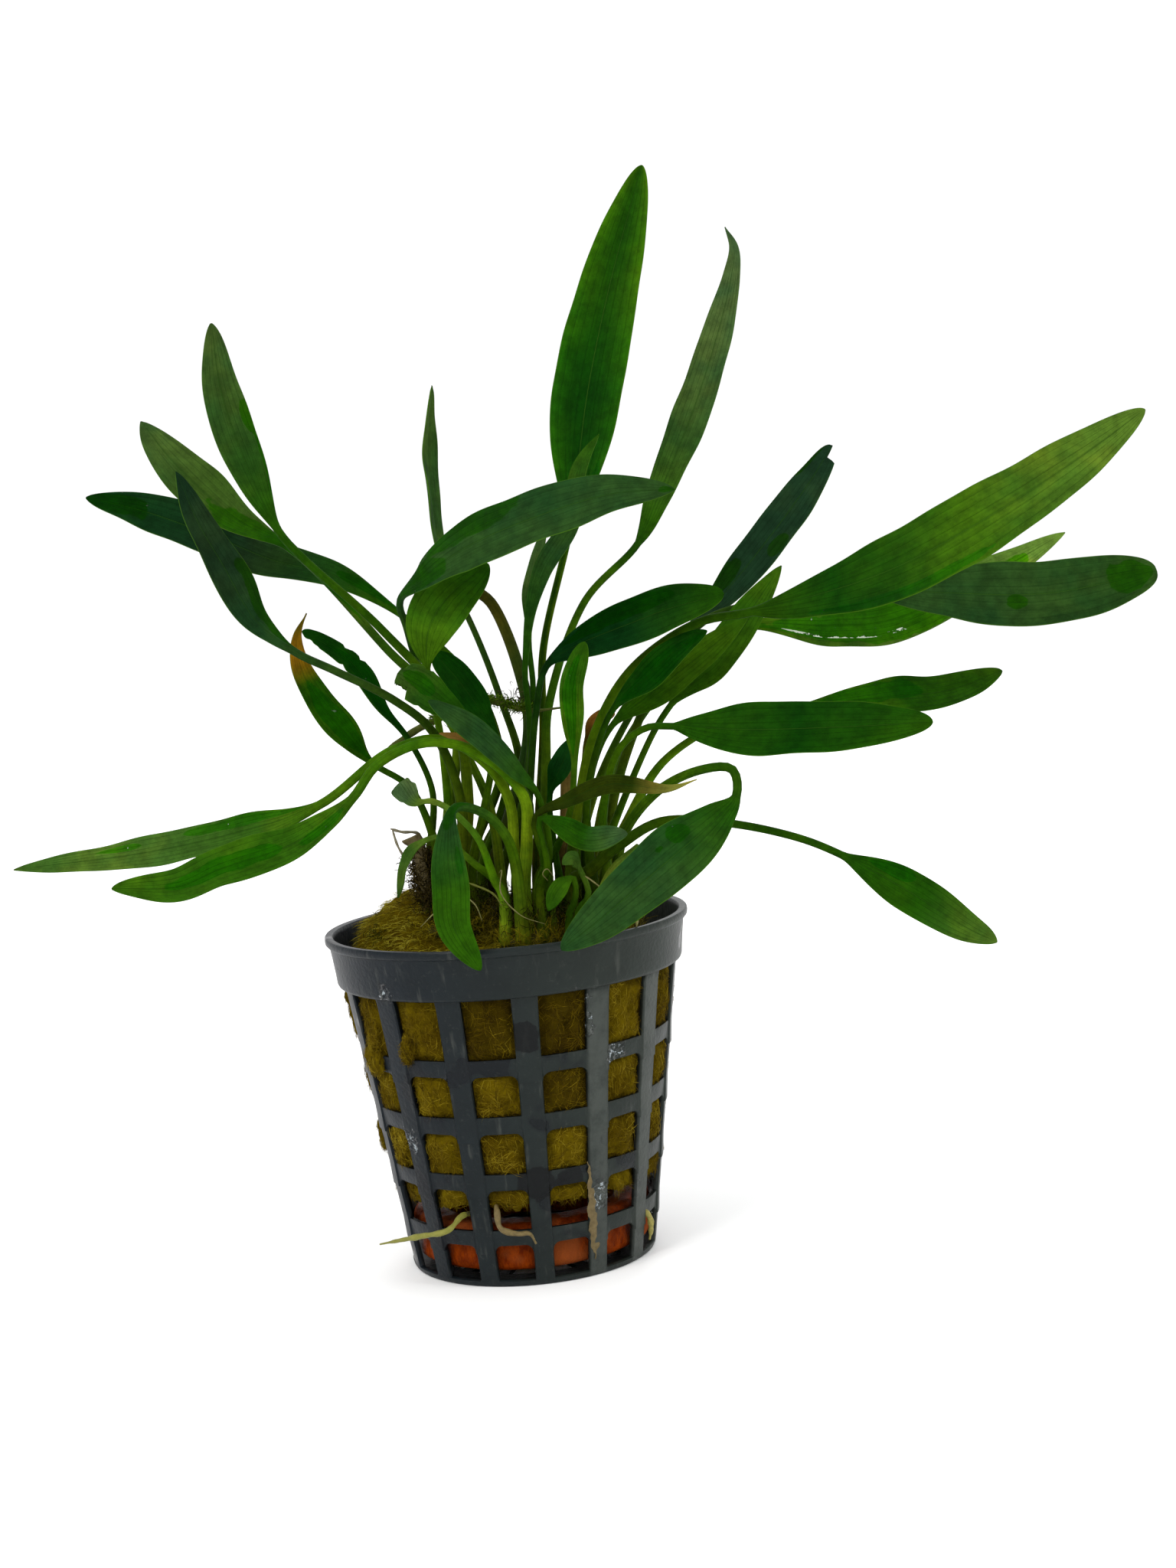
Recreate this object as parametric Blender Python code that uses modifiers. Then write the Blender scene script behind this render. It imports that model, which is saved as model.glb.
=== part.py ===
"""A cryptocoryne, an aquarium plant, growing in rock wool in a small black net pot.

The pot stands on Z = 0 with its axis on Z, and the side shown first faces -Y.
Sizes and places in the tables are millimetres; the scene itself is in metres.
"""

import math
from collections import namedtuple

import bmesh
import bpy
from mathutils import Vector

MM = 0.001
CLEARANCE = 0.3
TOWARDS_FRONT = Vector((0.0, -1.0, 0.3))

# Net pot
POT_HEIGHT = 50.0
LIP_RADIUS = 27.0
LIP_DEPTH = 0.8
BAND_TOP_RADIUS = 26.1
BAND_FOOT_RADIUS = 25.4
BAND_FOOT = 42.6
BAND_STEP = 0.5
WALL_TOP_RADIUS = 24.5
BASE_RADIUS = 18.0
WALL_THICKNESS = 0.8
RIB_COUNT = 14
RIB_TURN = 3.6
RIB_HALF_ANGLE = 4.4
WINDOW_ROWS = ((33.8, 42.6), (25.4, 31.4), (16.9, 22.9), (8.45, 14.5), (1.0, 6.2))
WINDOW_CORNER = 1.1
SLOT_OUTER_RADIUS = 13.8
SLOT_INNER_RADIUS = 7.0

# Fired clay weight ring
RING_OUTER_RADIUS = 17.3
RING_INNER_RADIUS = 12.4
RING_FOOT = 2.0
RING_TOP = 8.8
RING_EDGE = 1.2
RING_STEPS = 18

# Rock wool plug
WOOL_FOOT = 11.8
WOOL_LEVEL = 46.3
WOOL_SIDES = 16
WOOL_EDGE_FIT = 0.985
MOUND_RISE = 8.5
MOUND_CENTRE = (-13.0, 2.0)
MOUND_SPREAD = 6.5
WOOL_FOOT_SHARES = (0.5, 0.96)
WOOL_SIDE_HEIGHTS = (13.3, 27.0, 40.0)
WOOL_TOP_SHARES = (0.93, 0.78, 0.6, 0.4, 0.2)
SINK_DEPTH = 4.5
SINK_START = 12.0
SINK_END = 23.0

# Crowns: short rootstocks planted in the wool, each with a ring of leaf feet on top
CROWN_RADIUS = 4.5
CROWN_DEPTH = 4.6
CROWN_SIDES = 10
CROWN_LEVELS = ((0.8, 1.0), (1.0, 0.5), (0.95, 0.0))
CROWN_KNOB = 0.04
SOCKET_CUT = 20.0
FEET_IN_RING = 7
FEET_RING_RADIUS = 3.5
CROWNS = {
    "front": (3.0, -9.0, 50.0),
    "left": (-8.0, -4.0, 52.0),
    "back_left": (-5.0, 7.0, 52.0),
    "centre": (3.0, 1.0, 50.0),
    "right_front": (13.0, -5.0, 50.0),
    "right_back": (12.0, 6.0, 50.0),
}

# Leaves: a stalk that thins upwards, and a blade with margins thinner than its middle
LEAF_SIDES = 6
FOOT_RISE = 5.0
STALK_FOOT_RADIUS = 1.1
STALK_TOP_RADIUS = 0.6
STALK_RADIUS_PER_WIDTH = 0.02
BLADE_THICKNESS = 0.8
STALK_SPANS = 3
BLADE_SPANS = 5
BASE_POWER = 1.2
TIP_WIDTH = 0.7
SPAN_LENGTH = 21.0
SPAN_TURN = math.radians(52.0)

Leaf = namedtuple("Leaf", "name foot stalk blade width widest tip face cup colour")

# foot: a crown and a place on it (0 the middle, 1 to 7 round the ring), or a point on the wool
# stalk and blade: points of the middle line, the blade's from its base to its tip
# widest: share of the blade's length at which it is widest
# tip: 0.6 rounded, 1 pointed, 2 drawn out
# face: the way the upper side looks; cup: rise of the margins over half the width
LEAVES = (
    Leaf("leaf_tall", ("centre", 2), ((8, 8, 76), (9, 9, 88)),
         ((15, 13, 107), (19.3, 18, 126), (24.2, 22, 142), (31, 26, 160.5)),
         10.8, 0.36, 0.75, (-0.2, -1.0, 0.2), 0.12, "mid_green"),
    Leaf("leaf_upright_right", ("centre", 1), ((8, 3, 73), (9, 5, 80), (16, 12, 95)),
         ((25, 16, 103), (29, 19, 110), (35, 24, 121), (40, 28, 132), (44, 31, 143), (44.6, 33, 151)),
         7.0, 0.42, 1.3, (-0.4, -1.0, 0.1), 0.15, "grey_green"),
    Leaf("leaf_folded", ("centre", 4), ((5, 1, 70), (6, 1, 79)),
         ((6, 2, 86), (8, 3, 95), (10, 3, 100), (15, 5, 107)),
         3.2, 0.4, 1.0, (-0.6, -1.0, 0.0), 0.5, "grey_green"),
    Leaf("leaf_narrow", ("centre", 3), ((5, 5, 70), (7, 5, 83)),
         ((7, 6, 90), (8, 6, 97), (11, 7, 107)),
         2.6, 0.5, 1.0, (-0.6, -1.0, 0.0), 0.3, "grey_green"),
    Leaf("leaf_dark_right", ("centre", 0), ((5, -1, 68), (7, -2, 80)),
         ((9, -3, 86.5), (13, -5, 89), (22, -7.5, 92), (27, -9, 93.5), (34.5, -13, 95)),
         7.4, 0.5, 0.8, (-0.3, -1.0, 0.5), 0.12, "dark_green"),
    Leaf("leaf_front_arch", ("centre", 5), ((-1, 0, 67), (-5, 0, 78), (-9, -2, 87), (-10.4, -7, 94)),
         ((-10.8, -11, 98), (-7, -15, 101), (-2, -15, 104), (6, -18, 107), (19, -20, 110), (28, -22, 110)),
         9.0, 0.45, 0.9, (-0.2, -1.0, 0.7), 0.1, "glaucous"),
    Leaf("leaf_young", ("centre", 7), ((8, -5, 60), (11, -8, 67), (13, -9, 74)),
         ((12, -11, 80), (13, -12, 85), (16, -13, 90)),
         4.2, 0.55, 0.7, (-0.4, -1.0, 0.2), 0.3, "mid_green"),
    Leaf("leaf_far_left", ("back_left", 0), ((1, 8, 70), (1, 8, 77), (-2, 8, 85)),
         ((-11, 9, 95), (-21, 12, 102), (-30, 15, 105), (-38, 17, 109), (-49, 20, 114), (-58, 22, 117)),
         8.0, 0.62, 0.9, (0.2, -1.0, 0.7), 0.15, "dark_green"),
    Leaf("leaf_edge_on", ("back_left", 2), ((4, 12, 70), (2, 12, 82), (-2, 13, 95)),
         ((-4.5, 14, 100), (-5.5, 16.5, 110), (-5.5, 19.5, 120), (-4, 22, 129.5)),
         5.0, 0.45, 1.0, (1.0, -0.45, 0.0), 0.2, "grey_green"),
    Leaf("leaf_left_olive", ("back_left", 5), ((-7, 5, 66), (-5, 5, 79), (-14, 3, 91), (-23, 2, 103)),
         ((-27, 2, 107), (-34, 3.5, 111.5), (-42.5, 6.5, 120.5), (-47, 10, 127)),
         8.0, 0.55, 0.9, (0.5, -1.0, 0.5), 0.12, "olive_green"),
    Leaf("leaf_beside_torn", ("back_left", 7), ((0, 2, 64), (2, 0, 71)),
         ((1, -2, 77), (-1, -3, 81), (-4, -4, 86), (-7, -4, 90)),
         5.0, 0.6, 0.6, (0.4, -1.0, 0.3), 0.2, "dark_green"),
    Leaf("leaf_left_upright", ("left", 2), ((-4, -2, 68), (-5, -5, 81), (-14, -6, 94), (-24, -8, 105)),
         ((-27, -8, 109), (-30.7, -9, 119), (-33, -10, 129), (-33.3, -11, 138.3)),
         6.2, 0.45, 0.85, (0.4, -1.0, 0.2), 0.15, "mid_green"),
    Leaf("leaf_left_glaucous", ("left", 7), ((-5, -8, 69), (-8, -9, 79), (-13, -10, 84), (-21, -11, 89)),
         ((-26, -12, 92), (-31, -14, 97), (-34.5, -16.5, 105), (-37, -19, 111), (-39, -21, 118)),
         6.0, 0.45, 1.0, (0.6, -1.0, 0.4), 0.2, "glaucous"),
    Leaf("leaf_yellow_green", ("left", 0), ((-7, -4, 66), (-7, -6, 78)),
         ((-8, -9, 88), (-7, -12, 94), (-4, -12, 98), (2, -9, 102)),
         8.0, 0.5, 0.9, (0.0, -1.0, 0.3), 0.1, "yellow_green"),
    Leaf("leaf_torn_dark", ("left", 1), ((-2, -5, 66), (0, -7, 75)),
         ((-2, -11, 79), (-6, -13, 83), (-12, -14, 88)),
         6.2, 0.6, 0.5, (0.5, -1.0, 0.5), 0.12, "dark_green"),
    Leaf("leaf_torn_back", ("left", 4), ((-10, -2, 62), (-9, -2, 70)),
         ((-12, -1, 78), (-15, 0.5, 82), (-19, 3.5, 89), (-26, 5, 94.5)),
         5.0, 0.6, 0.6, (0.6, -1.0, 0.4), 0.15, "dark_green"),
    Leaf("leaf_brown_tipped", ("left", 6), ((-9, -7, 62), (-12, -6, 71)),
         ((-17, -6, 75), (-20, -7, 79), (-24, -7.5, 85), (-26, -7, 90), (-26, -7, 97)),
         5.0, 0.38, 2.2, (0.6, -1.0, 0.4), 0.2, "dark_green"),
    Leaf("leaf_low_left_front", ("front", 0),
         ((4, -11, 63), (4, -12, 69), (-2, -14.5, 76), (-9, -15, 78), (-16, -15, 75.5)),
         ((-20, -15, 71), (-28, -18, 66), (-38.5, -21, 63.5), (-44, -24, 62), (-52.5, -27, 63)),
         6.4, 0.5, 0.8, (0.1, -1.0, 0.8), 0.25, "mid_green"),
    Leaf("leaf_low_left_back", ("front", 3),
         ((2, -8, 60), (2, -8, 68), (-1, -10, 74), (-7, -11, 78), (-14, -11, 77)),
         ((-25, -9, 70), (-37, -8, 67), (-51, -6, 65), (-70, -3, 64)),
         5.6, 0.35, 1.0, (0.1, -1.0, 0.8), 0.15, "mid_green"),
    Leaf("leaf_hanging", ("front", 6), ((2, -13, 60), (1, -15, 64), (-1, -17, 67), (-4, -20, 69)),
         ((-6, -23, 69), (-7, -26, 64), (-7, -28, 59), (-7, -30, 54), (-4, -31, 48)),
         5.2, 0.5, 0.85, (-0.1, -1.0, 0.4), 0.15, "glaucous"),
    Leaf("leaf_grey_tip", ("front", 5), ((-1, -11, 57), (-3, -14, 64), (-7, -17, 69)),
         ((-9, -17, 70), (-11, -17, 70), (-13, -17, 73)),
         3.0, 0.5, 1.0, (-0.3, -1.0, 0.5), 0.4, "yellow_green"),
    Leaf("leaf_yellowed", ("front", 1), ((6, -11.6, 60),),
         ((5.4, -13, 66), (10, -14, 68), (16, -16, 70), (24, -19, 69), (28, -20, 70)),
         2.8, 0.4, 1.6, (-0.2, -1.0, 0.3), 0.1, "olive_green"),
    Leaf("leaf_mid_glaucous", ("front", 2), ((7, -8, 60),),
         ((6, -11, 69), (3, -14.6, 73), (-1, -16.4, 78), (-8, -18, 84)),
         5.0, 0.55, 0.8, (0.4, -1.0, 0.5), 0.15, "glaucous"),
    Leaf("leaf_short_pale", ("front", 7), ((6.5, -14, 59),),
         ((6, -15.6, 66), (9, -16.4, 64.6), (12, -16.6, 62.5), (18, -17, 63)),
         4.4, 0.5, 0.8, (0.1, -1.0, 0.8), 0.25, "yellow_green"),
    Leaf("leaf_thin_left", ("front", 4), ((-4, -10, 60), (-8, -11, 64)),
         ((-10, -11, 64), (-13, -11, 62), (-15, -11, 56)),
         1.6, 0.4, 1.0, (-0.4, -1.0, 0.3), 0.2, "olive_green"),
    Leaf("leaf_brown_edged", ("centre", 6), ((3, -4, 59), (5, -6, 66)),
         ((4, -10, 70), (0, -11.4, 75), (-3, -12.6, 77.4), (-7, -12.8, 79)),
         2.2, 0.5, 1.0, (0.4, -1.0, 0.4), 0.3, "brown"),
    Leaf("leaf_right_broad", ("right_front", 4), ((12, -3, 66), (15, -4, 76), (21, -5, 85), (31, -6, 91)),
         ((39, -7, 92), (57.5, -11, 96), (73, -14.5, 103), (87, -18, 111), (93.5, -21, 115.5)),
         10.8, 0.45, 0.8, (-0.3, -1.0, 0.5), 0.08, "mid_green"),
    Leaf("leaf_pair_front", ("right_front", 0), ((13, -6, 66), (15, -7, 74)),
         ((18, -8, 80), (23, -9, 84), (28, -10, 88), (32, -10, 90)),
         4.6, 0.45, 0.9, (-0.4, -1.0, 0.4), 0.15, "dark_green"),
    Leaf("leaf_pair_back", ("right_front", 3), ((13, -1, 64), (15, 0, 72)),
         ((18, 0, 77), (24, 0, 81), (33, -1, 87), (39, -1, 91)),
         6.0, 0.5, 0.9, (-0.4, -1.0, 0.4), 0.12, "dark_green"),
    Leaf("leaf_right_hidden", ("right_front", 2), ((19, -2, 63), (25, 0, 71), (35, 1, 76)),
         ((46, 3, 77), (59.5, 7, 77), (70, 11, 77), (79, 15, 79)),
         6.4, 0.5, 0.8, (0.0, -1.0, 0.7), 0.1, "mid_green"),
    Leaf("leaf_right_level", ("right_front", 7), ((15, -9, 64), (18, -10, 74), (22, -11, 77)),
         ((26, -12, 77), (35.5, -16.5, 76), (51, -21.5, 75.5), (60.5, -25, 75.5)),
         8.5, 0.38, 0.75, (0.0, -1.0, 0.6), 0.1, "dark_green"),
    Leaf("leaf_drooping", ("right_front", 1), ((18, -8, 62), (23, -12, 68), (29, -17, 71), (33, -20, 71)),
         ((33, -23, 67.5), (30, -25, 65), (21.5, -29, 59.5), (12, -31, 53), (7, -32, 50)),
         8.8, 0.4, 0.8, (-0.1, -1.0, 0.6), 0.1, "glaucous"),
    Leaf("leaf_low_right", ("right_front", 5),
         ((12, -10, 57), (17, -13, 61), (23, -15, 64), (32, -15, 63), (42, -15, 60)),
         ((48, -15, 57), (56.5, -18, 51.5), (64, -22, 46), (67, -26, 44.5)),
         6.2, 0.4, 0.9, (-0.2, -1.0, 0.6), 0.1, "mid_green"),
    Leaf("leaf_right_long", ("right_back", 2), ((16, 9, 64), (20, 10, 73), (30, 11, 84)),
         ((40, 12, 89), (53.5, 15, 88), (63, 17.5, 88), (80.5, 21, 94), (92.5, 25, 99)),
         8.0, 0.32, 1.0, (0.0, -1.0, 0.5), 0.1, "yellow_green"),
    Leaf("leaf_bright_corner", ("right_back", 7), ((17, 2, 62), (24, 3, 75)),
         ((27, 3, 79), (30, 3, 82), (34, 3, 85), (40, 3, 92), (45, 4, 98)),
         6.0, 0.35, 1.4, (-0.5, -1.0, 0.2), 0.1, "yellow_green"),
    Leaf("leaf_right_notched", ("right_back", 3), ((16, 13, 68), (22, 13, 78)),
         ((30, 12, 88), (37, 14.5, 94), (45, 17, 102), (52.5, 21.5, 110), (57, 25, 115.5)),
         6.4, 0.5, 0.8, (-0.4, -1.0, 0.2), 0.1, "glaucous"),
    Leaf("leaf_right_blunt", ("right_back", 1), ((18, 6, 67), (26, 7, 83), (34, 8, 91), (47, 7, 93)),
         ((54, 6, 94), (68, 5, 92), (84.5, 4, 90.5), (100.5, 3, 92.5)),
         10.6, 0.58, 0.5, (0.0, -1.0, 0.5), 0.08, "glaucous"),
    Leaf("leaf_dead", ("right_back", 6), ((12, 3, 62), (14, 3, 73)),
         ((15, 3, 76), (16, 3, 79), (18, 3, 80)),
         3.0, 0.5, 0.8, (0.2, -1.0, 0.3), 0.4, "brown"),
    Leaf("leaf_inner_dark", (8.6, -1.2), ((8, -1, 60),),
         ((8, -2, 68), (10, -3, 72), (12, -3, 76)),
         3.4, 0.5, 1.0, (-0.4, -1.0, 0.2), 0.3, "dark_green"),
    Leaf("leaf_seedling_upper", (10.4, -11.4), ((12, -12, 54),),
         ((11, -12, 58), (10, -13, 59.6), (8.6, -13.4, 59)),
         2.2, 0.5, 1.0, (0.2, -1.0, 0.6), 0.2, "yellow_green"),
    Leaf("leaf_seedling_lower", (9.0, -13.6), ((10, -14, 54),),
         ((10, -14, 57), (8, -15, 56), (6, -16, 53)),
         2.6, 0.5, 1.0, (0.0, -1.0, 0.4), 0.2, "mid_green"),
)

# Bare stalks: name, foot, points, end radius, colour
STALKS = (
    ("stalk_bare_brown", ("back_left", 1),
     ((2, 8, 64), (6, 9, 77), (5, 9, 87), (2, 10, 96), (0, 10, 98)),
     0.8, "olive_green"),
    ("stalk_dead_tan", ("right_back", 5), ((10, 4, 62), (11, 4, 73)), 0.8, "brown"),
    ("stalk_cut_green", (13.6, -12.0), ((16, -13, 57), (20, -14, 60)), 0.7, "mid_green"),
)

# Loose pieces caught in the plant: name, points, radius, colour
STRANDS = (
    ("moss_twig", ((-17, 1, 75), (-10, 1, 79), (-4, 2, 81), (0, 4, 82), (6, 3, 80), (11, 3, 80)),
     0.6, "brown"),
    ("root_escaping", ((-8, -13, 10), (-10, -18, 11), (-12, -21, 10), (-16, -19, 9), (-22, -14, 7)),
     0.5, "root"),
)

COLOURS = {
    "pot_black": ((0.018, 0.021, 0.024), 0.45),
    "clay": ((0.42, 0.13, 0.055), 0.6),
    "rock_wool": ((0.19, 0.125, 0.025), 0.95),
    "crown": ((0.10, 0.085, 0.02), 0.7),
    "mid_green": ((0.045, 0.13, 0.018), 0.45),
    "dark_green": ((0.012, 0.05, 0.012), 0.4),
    "grey_green": ((0.07, 0.13, 0.055), 0.6),
    "glaucous": ((0.03, 0.085, 0.045), 0.55),
    "olive_green": ((0.09, 0.12, 0.015), 0.5),
    "yellow_green": ((0.10, 0.20, 0.012), 0.45),
    "brown": ((0.16, 0.09, 0.02), 0.7),
    "root": ((0.36, 0.33, 0.12), 0.6),
}


def clear_scene():
    for item in list(bpy.data.objects):
        bpy.data.objects.remove(item, do_unlink=True)


def new_collection(name):
    collection = bpy.data.collections.new(name)
    bpy.context.scene.collection.children.link(collection)
    return collection


def finish(name):
    """The plain finish for one kind of piece."""
    material = bpy.data.materials.get(name)
    if material is None:
        colour, roughness = COLOURS[name]
        material = bpy.data.materials.new(name)
        material.use_nodes = True
        shader = material.node_tree.nodes["Principled BSDF"]
        shader.inputs["Base Color"].default_value = (*colour, 1.0)
        shader.inputs["Roughness"].default_value = roughness
        shader.inputs["Metallic"].default_value = 0.0
    return material


def object_from(name, bm, colour, collection):
    """Turns a bmesh into a named object with its finish."""
    bmesh.ops.recalc_face_normals(bm, faces=bm.faces[:])
    mesh = bpy.data.meshes.new(name)
    bm.to_mesh(mesh)
    bm.free()
    mesh.materials.append(finish(colour))
    obj = bpy.data.objects.new(name, mesh)
    collection.objects.link(obj)
    return obj


def round_off(obj, angle=40.0):
    obj.data.shade_smooth()
    obj.data.set_sharp_from_angle(angle=math.radians(angle))


def loft(name, rings, colour, collection):
    """A closed solid through rings of points that all have the same number of points."""
    bm = bmesh.new()
    rows = [[bm.verts.new(Vector(point) * MM) for point in ring] for ring in rings]
    sides = len(rows[0])
    for lower, upper in zip(rows, rows[1:]):
        for side in range(sides):
            after = (side + 1) % sides
            bm.faces.new((lower[side], lower[after], upper[after], upper[side]))
    bm.faces.new(rows[0][::-1])
    bm.faces.new(rows[-1])
    return object_from(name, bm, colour, collection)


def wall_radius(height):
    """Outer radius of the pot's tapering wall."""
    return BASE_RADIUS + (WALL_TOP_RADIUS - BASE_RADIUS) * height / BAND_FOOT


def pot_point(angle, radius, height):
    """A point at an angle from the front of the pot towards +X."""
    turn = math.radians(angle)
    return Vector((radius * math.sin(turn), -radius * math.cos(turn), height))


class Lattice:
    """Collects flat faces round the pot and shares the corners that they have in common."""

    def __init__(self):
        self.bm = bmesh.new()
        self.corners = {}

    def corner(self, angle, radius, height):
        point = pot_point(angle, radius, height)
        key = tuple(round(value, 3) for value in point)
        if key not in self.corners:
            self.corners[key] = self.bm.verts.new(point * MM)
        return self.corners[key]

    def face(self, points):
        self.bm.faces.new([self.corner(*point) for point in points])


def wall_points(pairs):
    return [(angle, wall_radius(height), height) for angle, height in pairs]


def corner_angle(height):
    """The angle that a window's cut corner takes at this height of the wall."""
    return math.degrees(WINDOW_CORNER / wall_radius(height))


def add_rib(lattice, left, right):
    """One upright rib, a face for each window row and each hoop that it crosses."""
    for row, (foot, top) in enumerate(WINDOW_ROWS):
        if row == 0:
            outline = ((left, top), (left, foot), (right, foot), (right, top))
        else:
            cut = top - WINDOW_CORNER
            outline = ((left, top), (left, cut), (left, foot), (right, foot), (right, cut), (right, top))
        lattice.face(wall_points(outline))
        below = WINDOW_ROWS[row + 1][1] if row + 1 < len(WINDOW_ROWS) else 0.0
        lattice.face(wall_points(((left, foot), (left, below), (right, below), (right, foot))))


def add_hoops(lattice, left, right):
    """The hoops between two ribs, with the cut upper corners of the windows under them."""
    for row, (foot, _) in enumerate(WINDOW_ROWS):
        if row + 1 == len(WINDOW_ROWS):
            lattice.face(wall_points(((left, foot), (left, 0.0), (right, 0.0), (right, foot))))
            continue
        below = WINDOW_ROWS[row + 1][1]
        turn = corner_angle(below)
        inner_left = left + turn
        inner_right = right - turn
        outline = ((left, foot), (left, below), (inner_left, below),
                   (inner_right, below), (right, below), (right, foot))
        lattice.face(wall_points(outline))
        cut = below - WINDOW_CORNER
        lattice.face(wall_points(((left, below), (left, cut), (inner_left, below))))
        lattice.face(wall_points(((right, below), (inner_right, below), (right, cut))))


def add_band(lattice, left, right):
    """The solid band and the lip above the windows."""
    profile = (
        (LIP_RADIUS, POT_HEIGHT),
        (LIP_RADIUS, POT_HEIGHT - LIP_DEPTH),
        (BAND_TOP_RADIUS, POT_HEIGHT - 2 * LIP_DEPTH),
        (BAND_FOOT_RADIUS, BAND_FOOT + BAND_STEP),
        (WALL_TOP_RADIUS, BAND_FOOT),
    )
    for (top_radius, top), (foot_radius, foot) in zip(profile, profile[1:]):
        lattice.face(((left, top_radius, top), (left, foot_radius, foot),
                      (right, foot_radius, foot), (right, top_radius, top)))


def add_floor(lattice, left, right, open_slot):
    """One sector of the flat floor, with its slot left open between the ribs."""
    lattice.face(((left, BASE_RADIUS, 0.0), (left, SLOT_OUTER_RADIUS, 0.0),
                  (right, SLOT_OUTER_RADIUS, 0.0), (right, BASE_RADIUS, 0.0)))
    if not open_slot:
        lattice.face(((left, SLOT_OUTER_RADIUS, 0.0), (left, SLOT_INNER_RADIUS, 0.0),
                      (right, SLOT_INNER_RADIUS, 0.0), (right, SLOT_OUTER_RADIUS, 0.0)))


def make_pot(collection):
    lattice = Lattice()
    pitch = 360.0 / RIB_COUNT
    hub = []
    for rib in range(RIB_COUNT):
        middle = RIB_TURN + rib * pitch
        left = middle - RIB_HALF_ANGLE
        right = middle + RIB_HALF_ANGLE
        following = middle + pitch - RIB_HALF_ANGLE
        add_rib(lattice, left, right)
        add_hoops(lattice, right, following)
        for start, end, open_slot in ((left, right, False), (right, following, True)):
            add_band(lattice, start, end)
            add_floor(lattice, start, end, open_slot)
            hub.append((start, SLOT_INNER_RADIUS, 0.0))
    lattice.face(hub[::-1])
    pot = object_from("net_pot", lattice.bm, "pot_black", collection)
    shell = pot.modifiers.new("wall", "SOLIDIFY")
    shell.thickness = WALL_THICKNESS * MM
    shell.offset = -1.0
    shell.use_even_offset = True
    round_off(pot, 30.0)
    return pot


def make_clay_ring(collection):
    """A turned ring with eased edges, wedged in the taper just above the pot's floor."""
    profile = (
        (RING_OUTER_RADIUS - RING_EDGE, RING_TOP),
        (RING_OUTER_RADIUS, RING_TOP - RING_EDGE),
        (RING_OUTER_RADIUS - 0.3, RING_FOOT + RING_EDGE),
        (RING_OUTER_RADIUS - RING_EDGE, RING_FOOT),
        (RING_INNER_RADIUS + RING_EDGE, RING_FOOT),
        (RING_INNER_RADIUS, RING_FOOT + RING_EDGE),
        (RING_INNER_RADIUS, RING_TOP - RING_EDGE),
        (RING_INNER_RADIUS + RING_EDGE, RING_TOP),
    )
    mesh = bpy.data.meshes.new("clay_ring")
    points = [(radius * MM, 0.0, height * MM) for radius, height in profile]
    edges = [(index, (index + 1) % len(points)) for index in range(len(points))]
    mesh.from_pydata(points, edges, [])
    mesh.materials.append(finish("clay"))
    ring = bpy.data.objects.new("clay_ring", mesh)
    collection.objects.link(ring)
    turn = ring.modifiers.new("turn", "SCREW")
    turn.steps = RING_STEPS
    turn.render_steps = RING_STEPS
    turn.use_merge_vertices = True
    turn.merge_threshold = 0.00001
    turn.use_smooth_shade = True
    return ring


def wool_top(x, y):
    """Height of the wool's upper face: level, a mound on the left, and sunk on the right."""
    away = (x - MOUND_CENTRE[0]) ** 2 + (y - MOUND_CENTRE[1]) ** 2
    mound = MOUND_RISE * math.exp(-away / (2.0 * MOUND_SPREAD ** 2))
    share = min(max((x - SINK_START) / (SINK_END - SINK_START), 0.0), 1.0)
    return WOOL_LEVEL + mound - SINK_DEPTH * share * share * (3.0 - 2.0 * share)


def wool_ring(radius, height_of):
    ring = []
    for side in range(WOOL_SIDES):
        turn = 2.0 * math.pi * side / WOOL_SIDES
        x = radius * math.cos(turn)
        y = radius * math.sin(turn)
        ring.append((x, y, height_of(x, y)))
    return ring


def cut_socket(wool, name, cutters):
    """A ten-sided hole in the wool that a crown stands in."""
    x, y, top = CROWNS[name]
    floor = top - CROWN_DEPTH - CLEARANCE
    reach = (CROWN_RADIUS + CLEARANCE) / math.cos(math.pi / CROWN_SIDES)
    bpy.ops.mesh.primitive_cylinder_add(
        vertices=CROWN_SIDES, radius=reach * MM, depth=SOCKET_CUT * MM,
        location=(x * MM, y * MM, (floor + SOCKET_CUT / 2.0) * MM))
    socket = bpy.context.active_object
    socket.name = "socket_" + name
    socket.hide_render = True
    socket.display_type = "WIRE"
    for owner in list(socket.users_collection):
        owner.objects.unlink(socket)
    cutters.objects.link(socket)
    cut = wool.modifiers.new(socket.name, "BOOLEAN")
    cut.operation = "DIFFERENCE"
    cut.object = socket


def make_wool(collection, cutters):
    """The plug of wool, which fits the taper of the pot, with a socket for each crown."""
    def fitted(height):
        return (wall_radius(height) - WALL_THICKNESS) * WOOL_EDGE_FIT - CLEARANCE

    rings = [wool_ring(share * fitted(WOOL_FOOT), lambda x, y: WOOL_FOOT) for share in WOOL_FOOT_SHARES]
    for height in WOOL_SIDE_HEIGHTS:
        rings.append(wool_ring(fitted(height), lambda x, y, level=height: level))
    for share in WOOL_TOP_SHARES:
        rings.append(wool_ring(share * fitted(WOOL_SIDE_HEIGHTS[-1]), wool_top))
    wool = loft("rock_wool", rings, "rock_wool", collection)
    for name in CROWNS:
        cut_socket(wool, name, cutters)
    round_off(wool, 60.0)
    return wool


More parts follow.
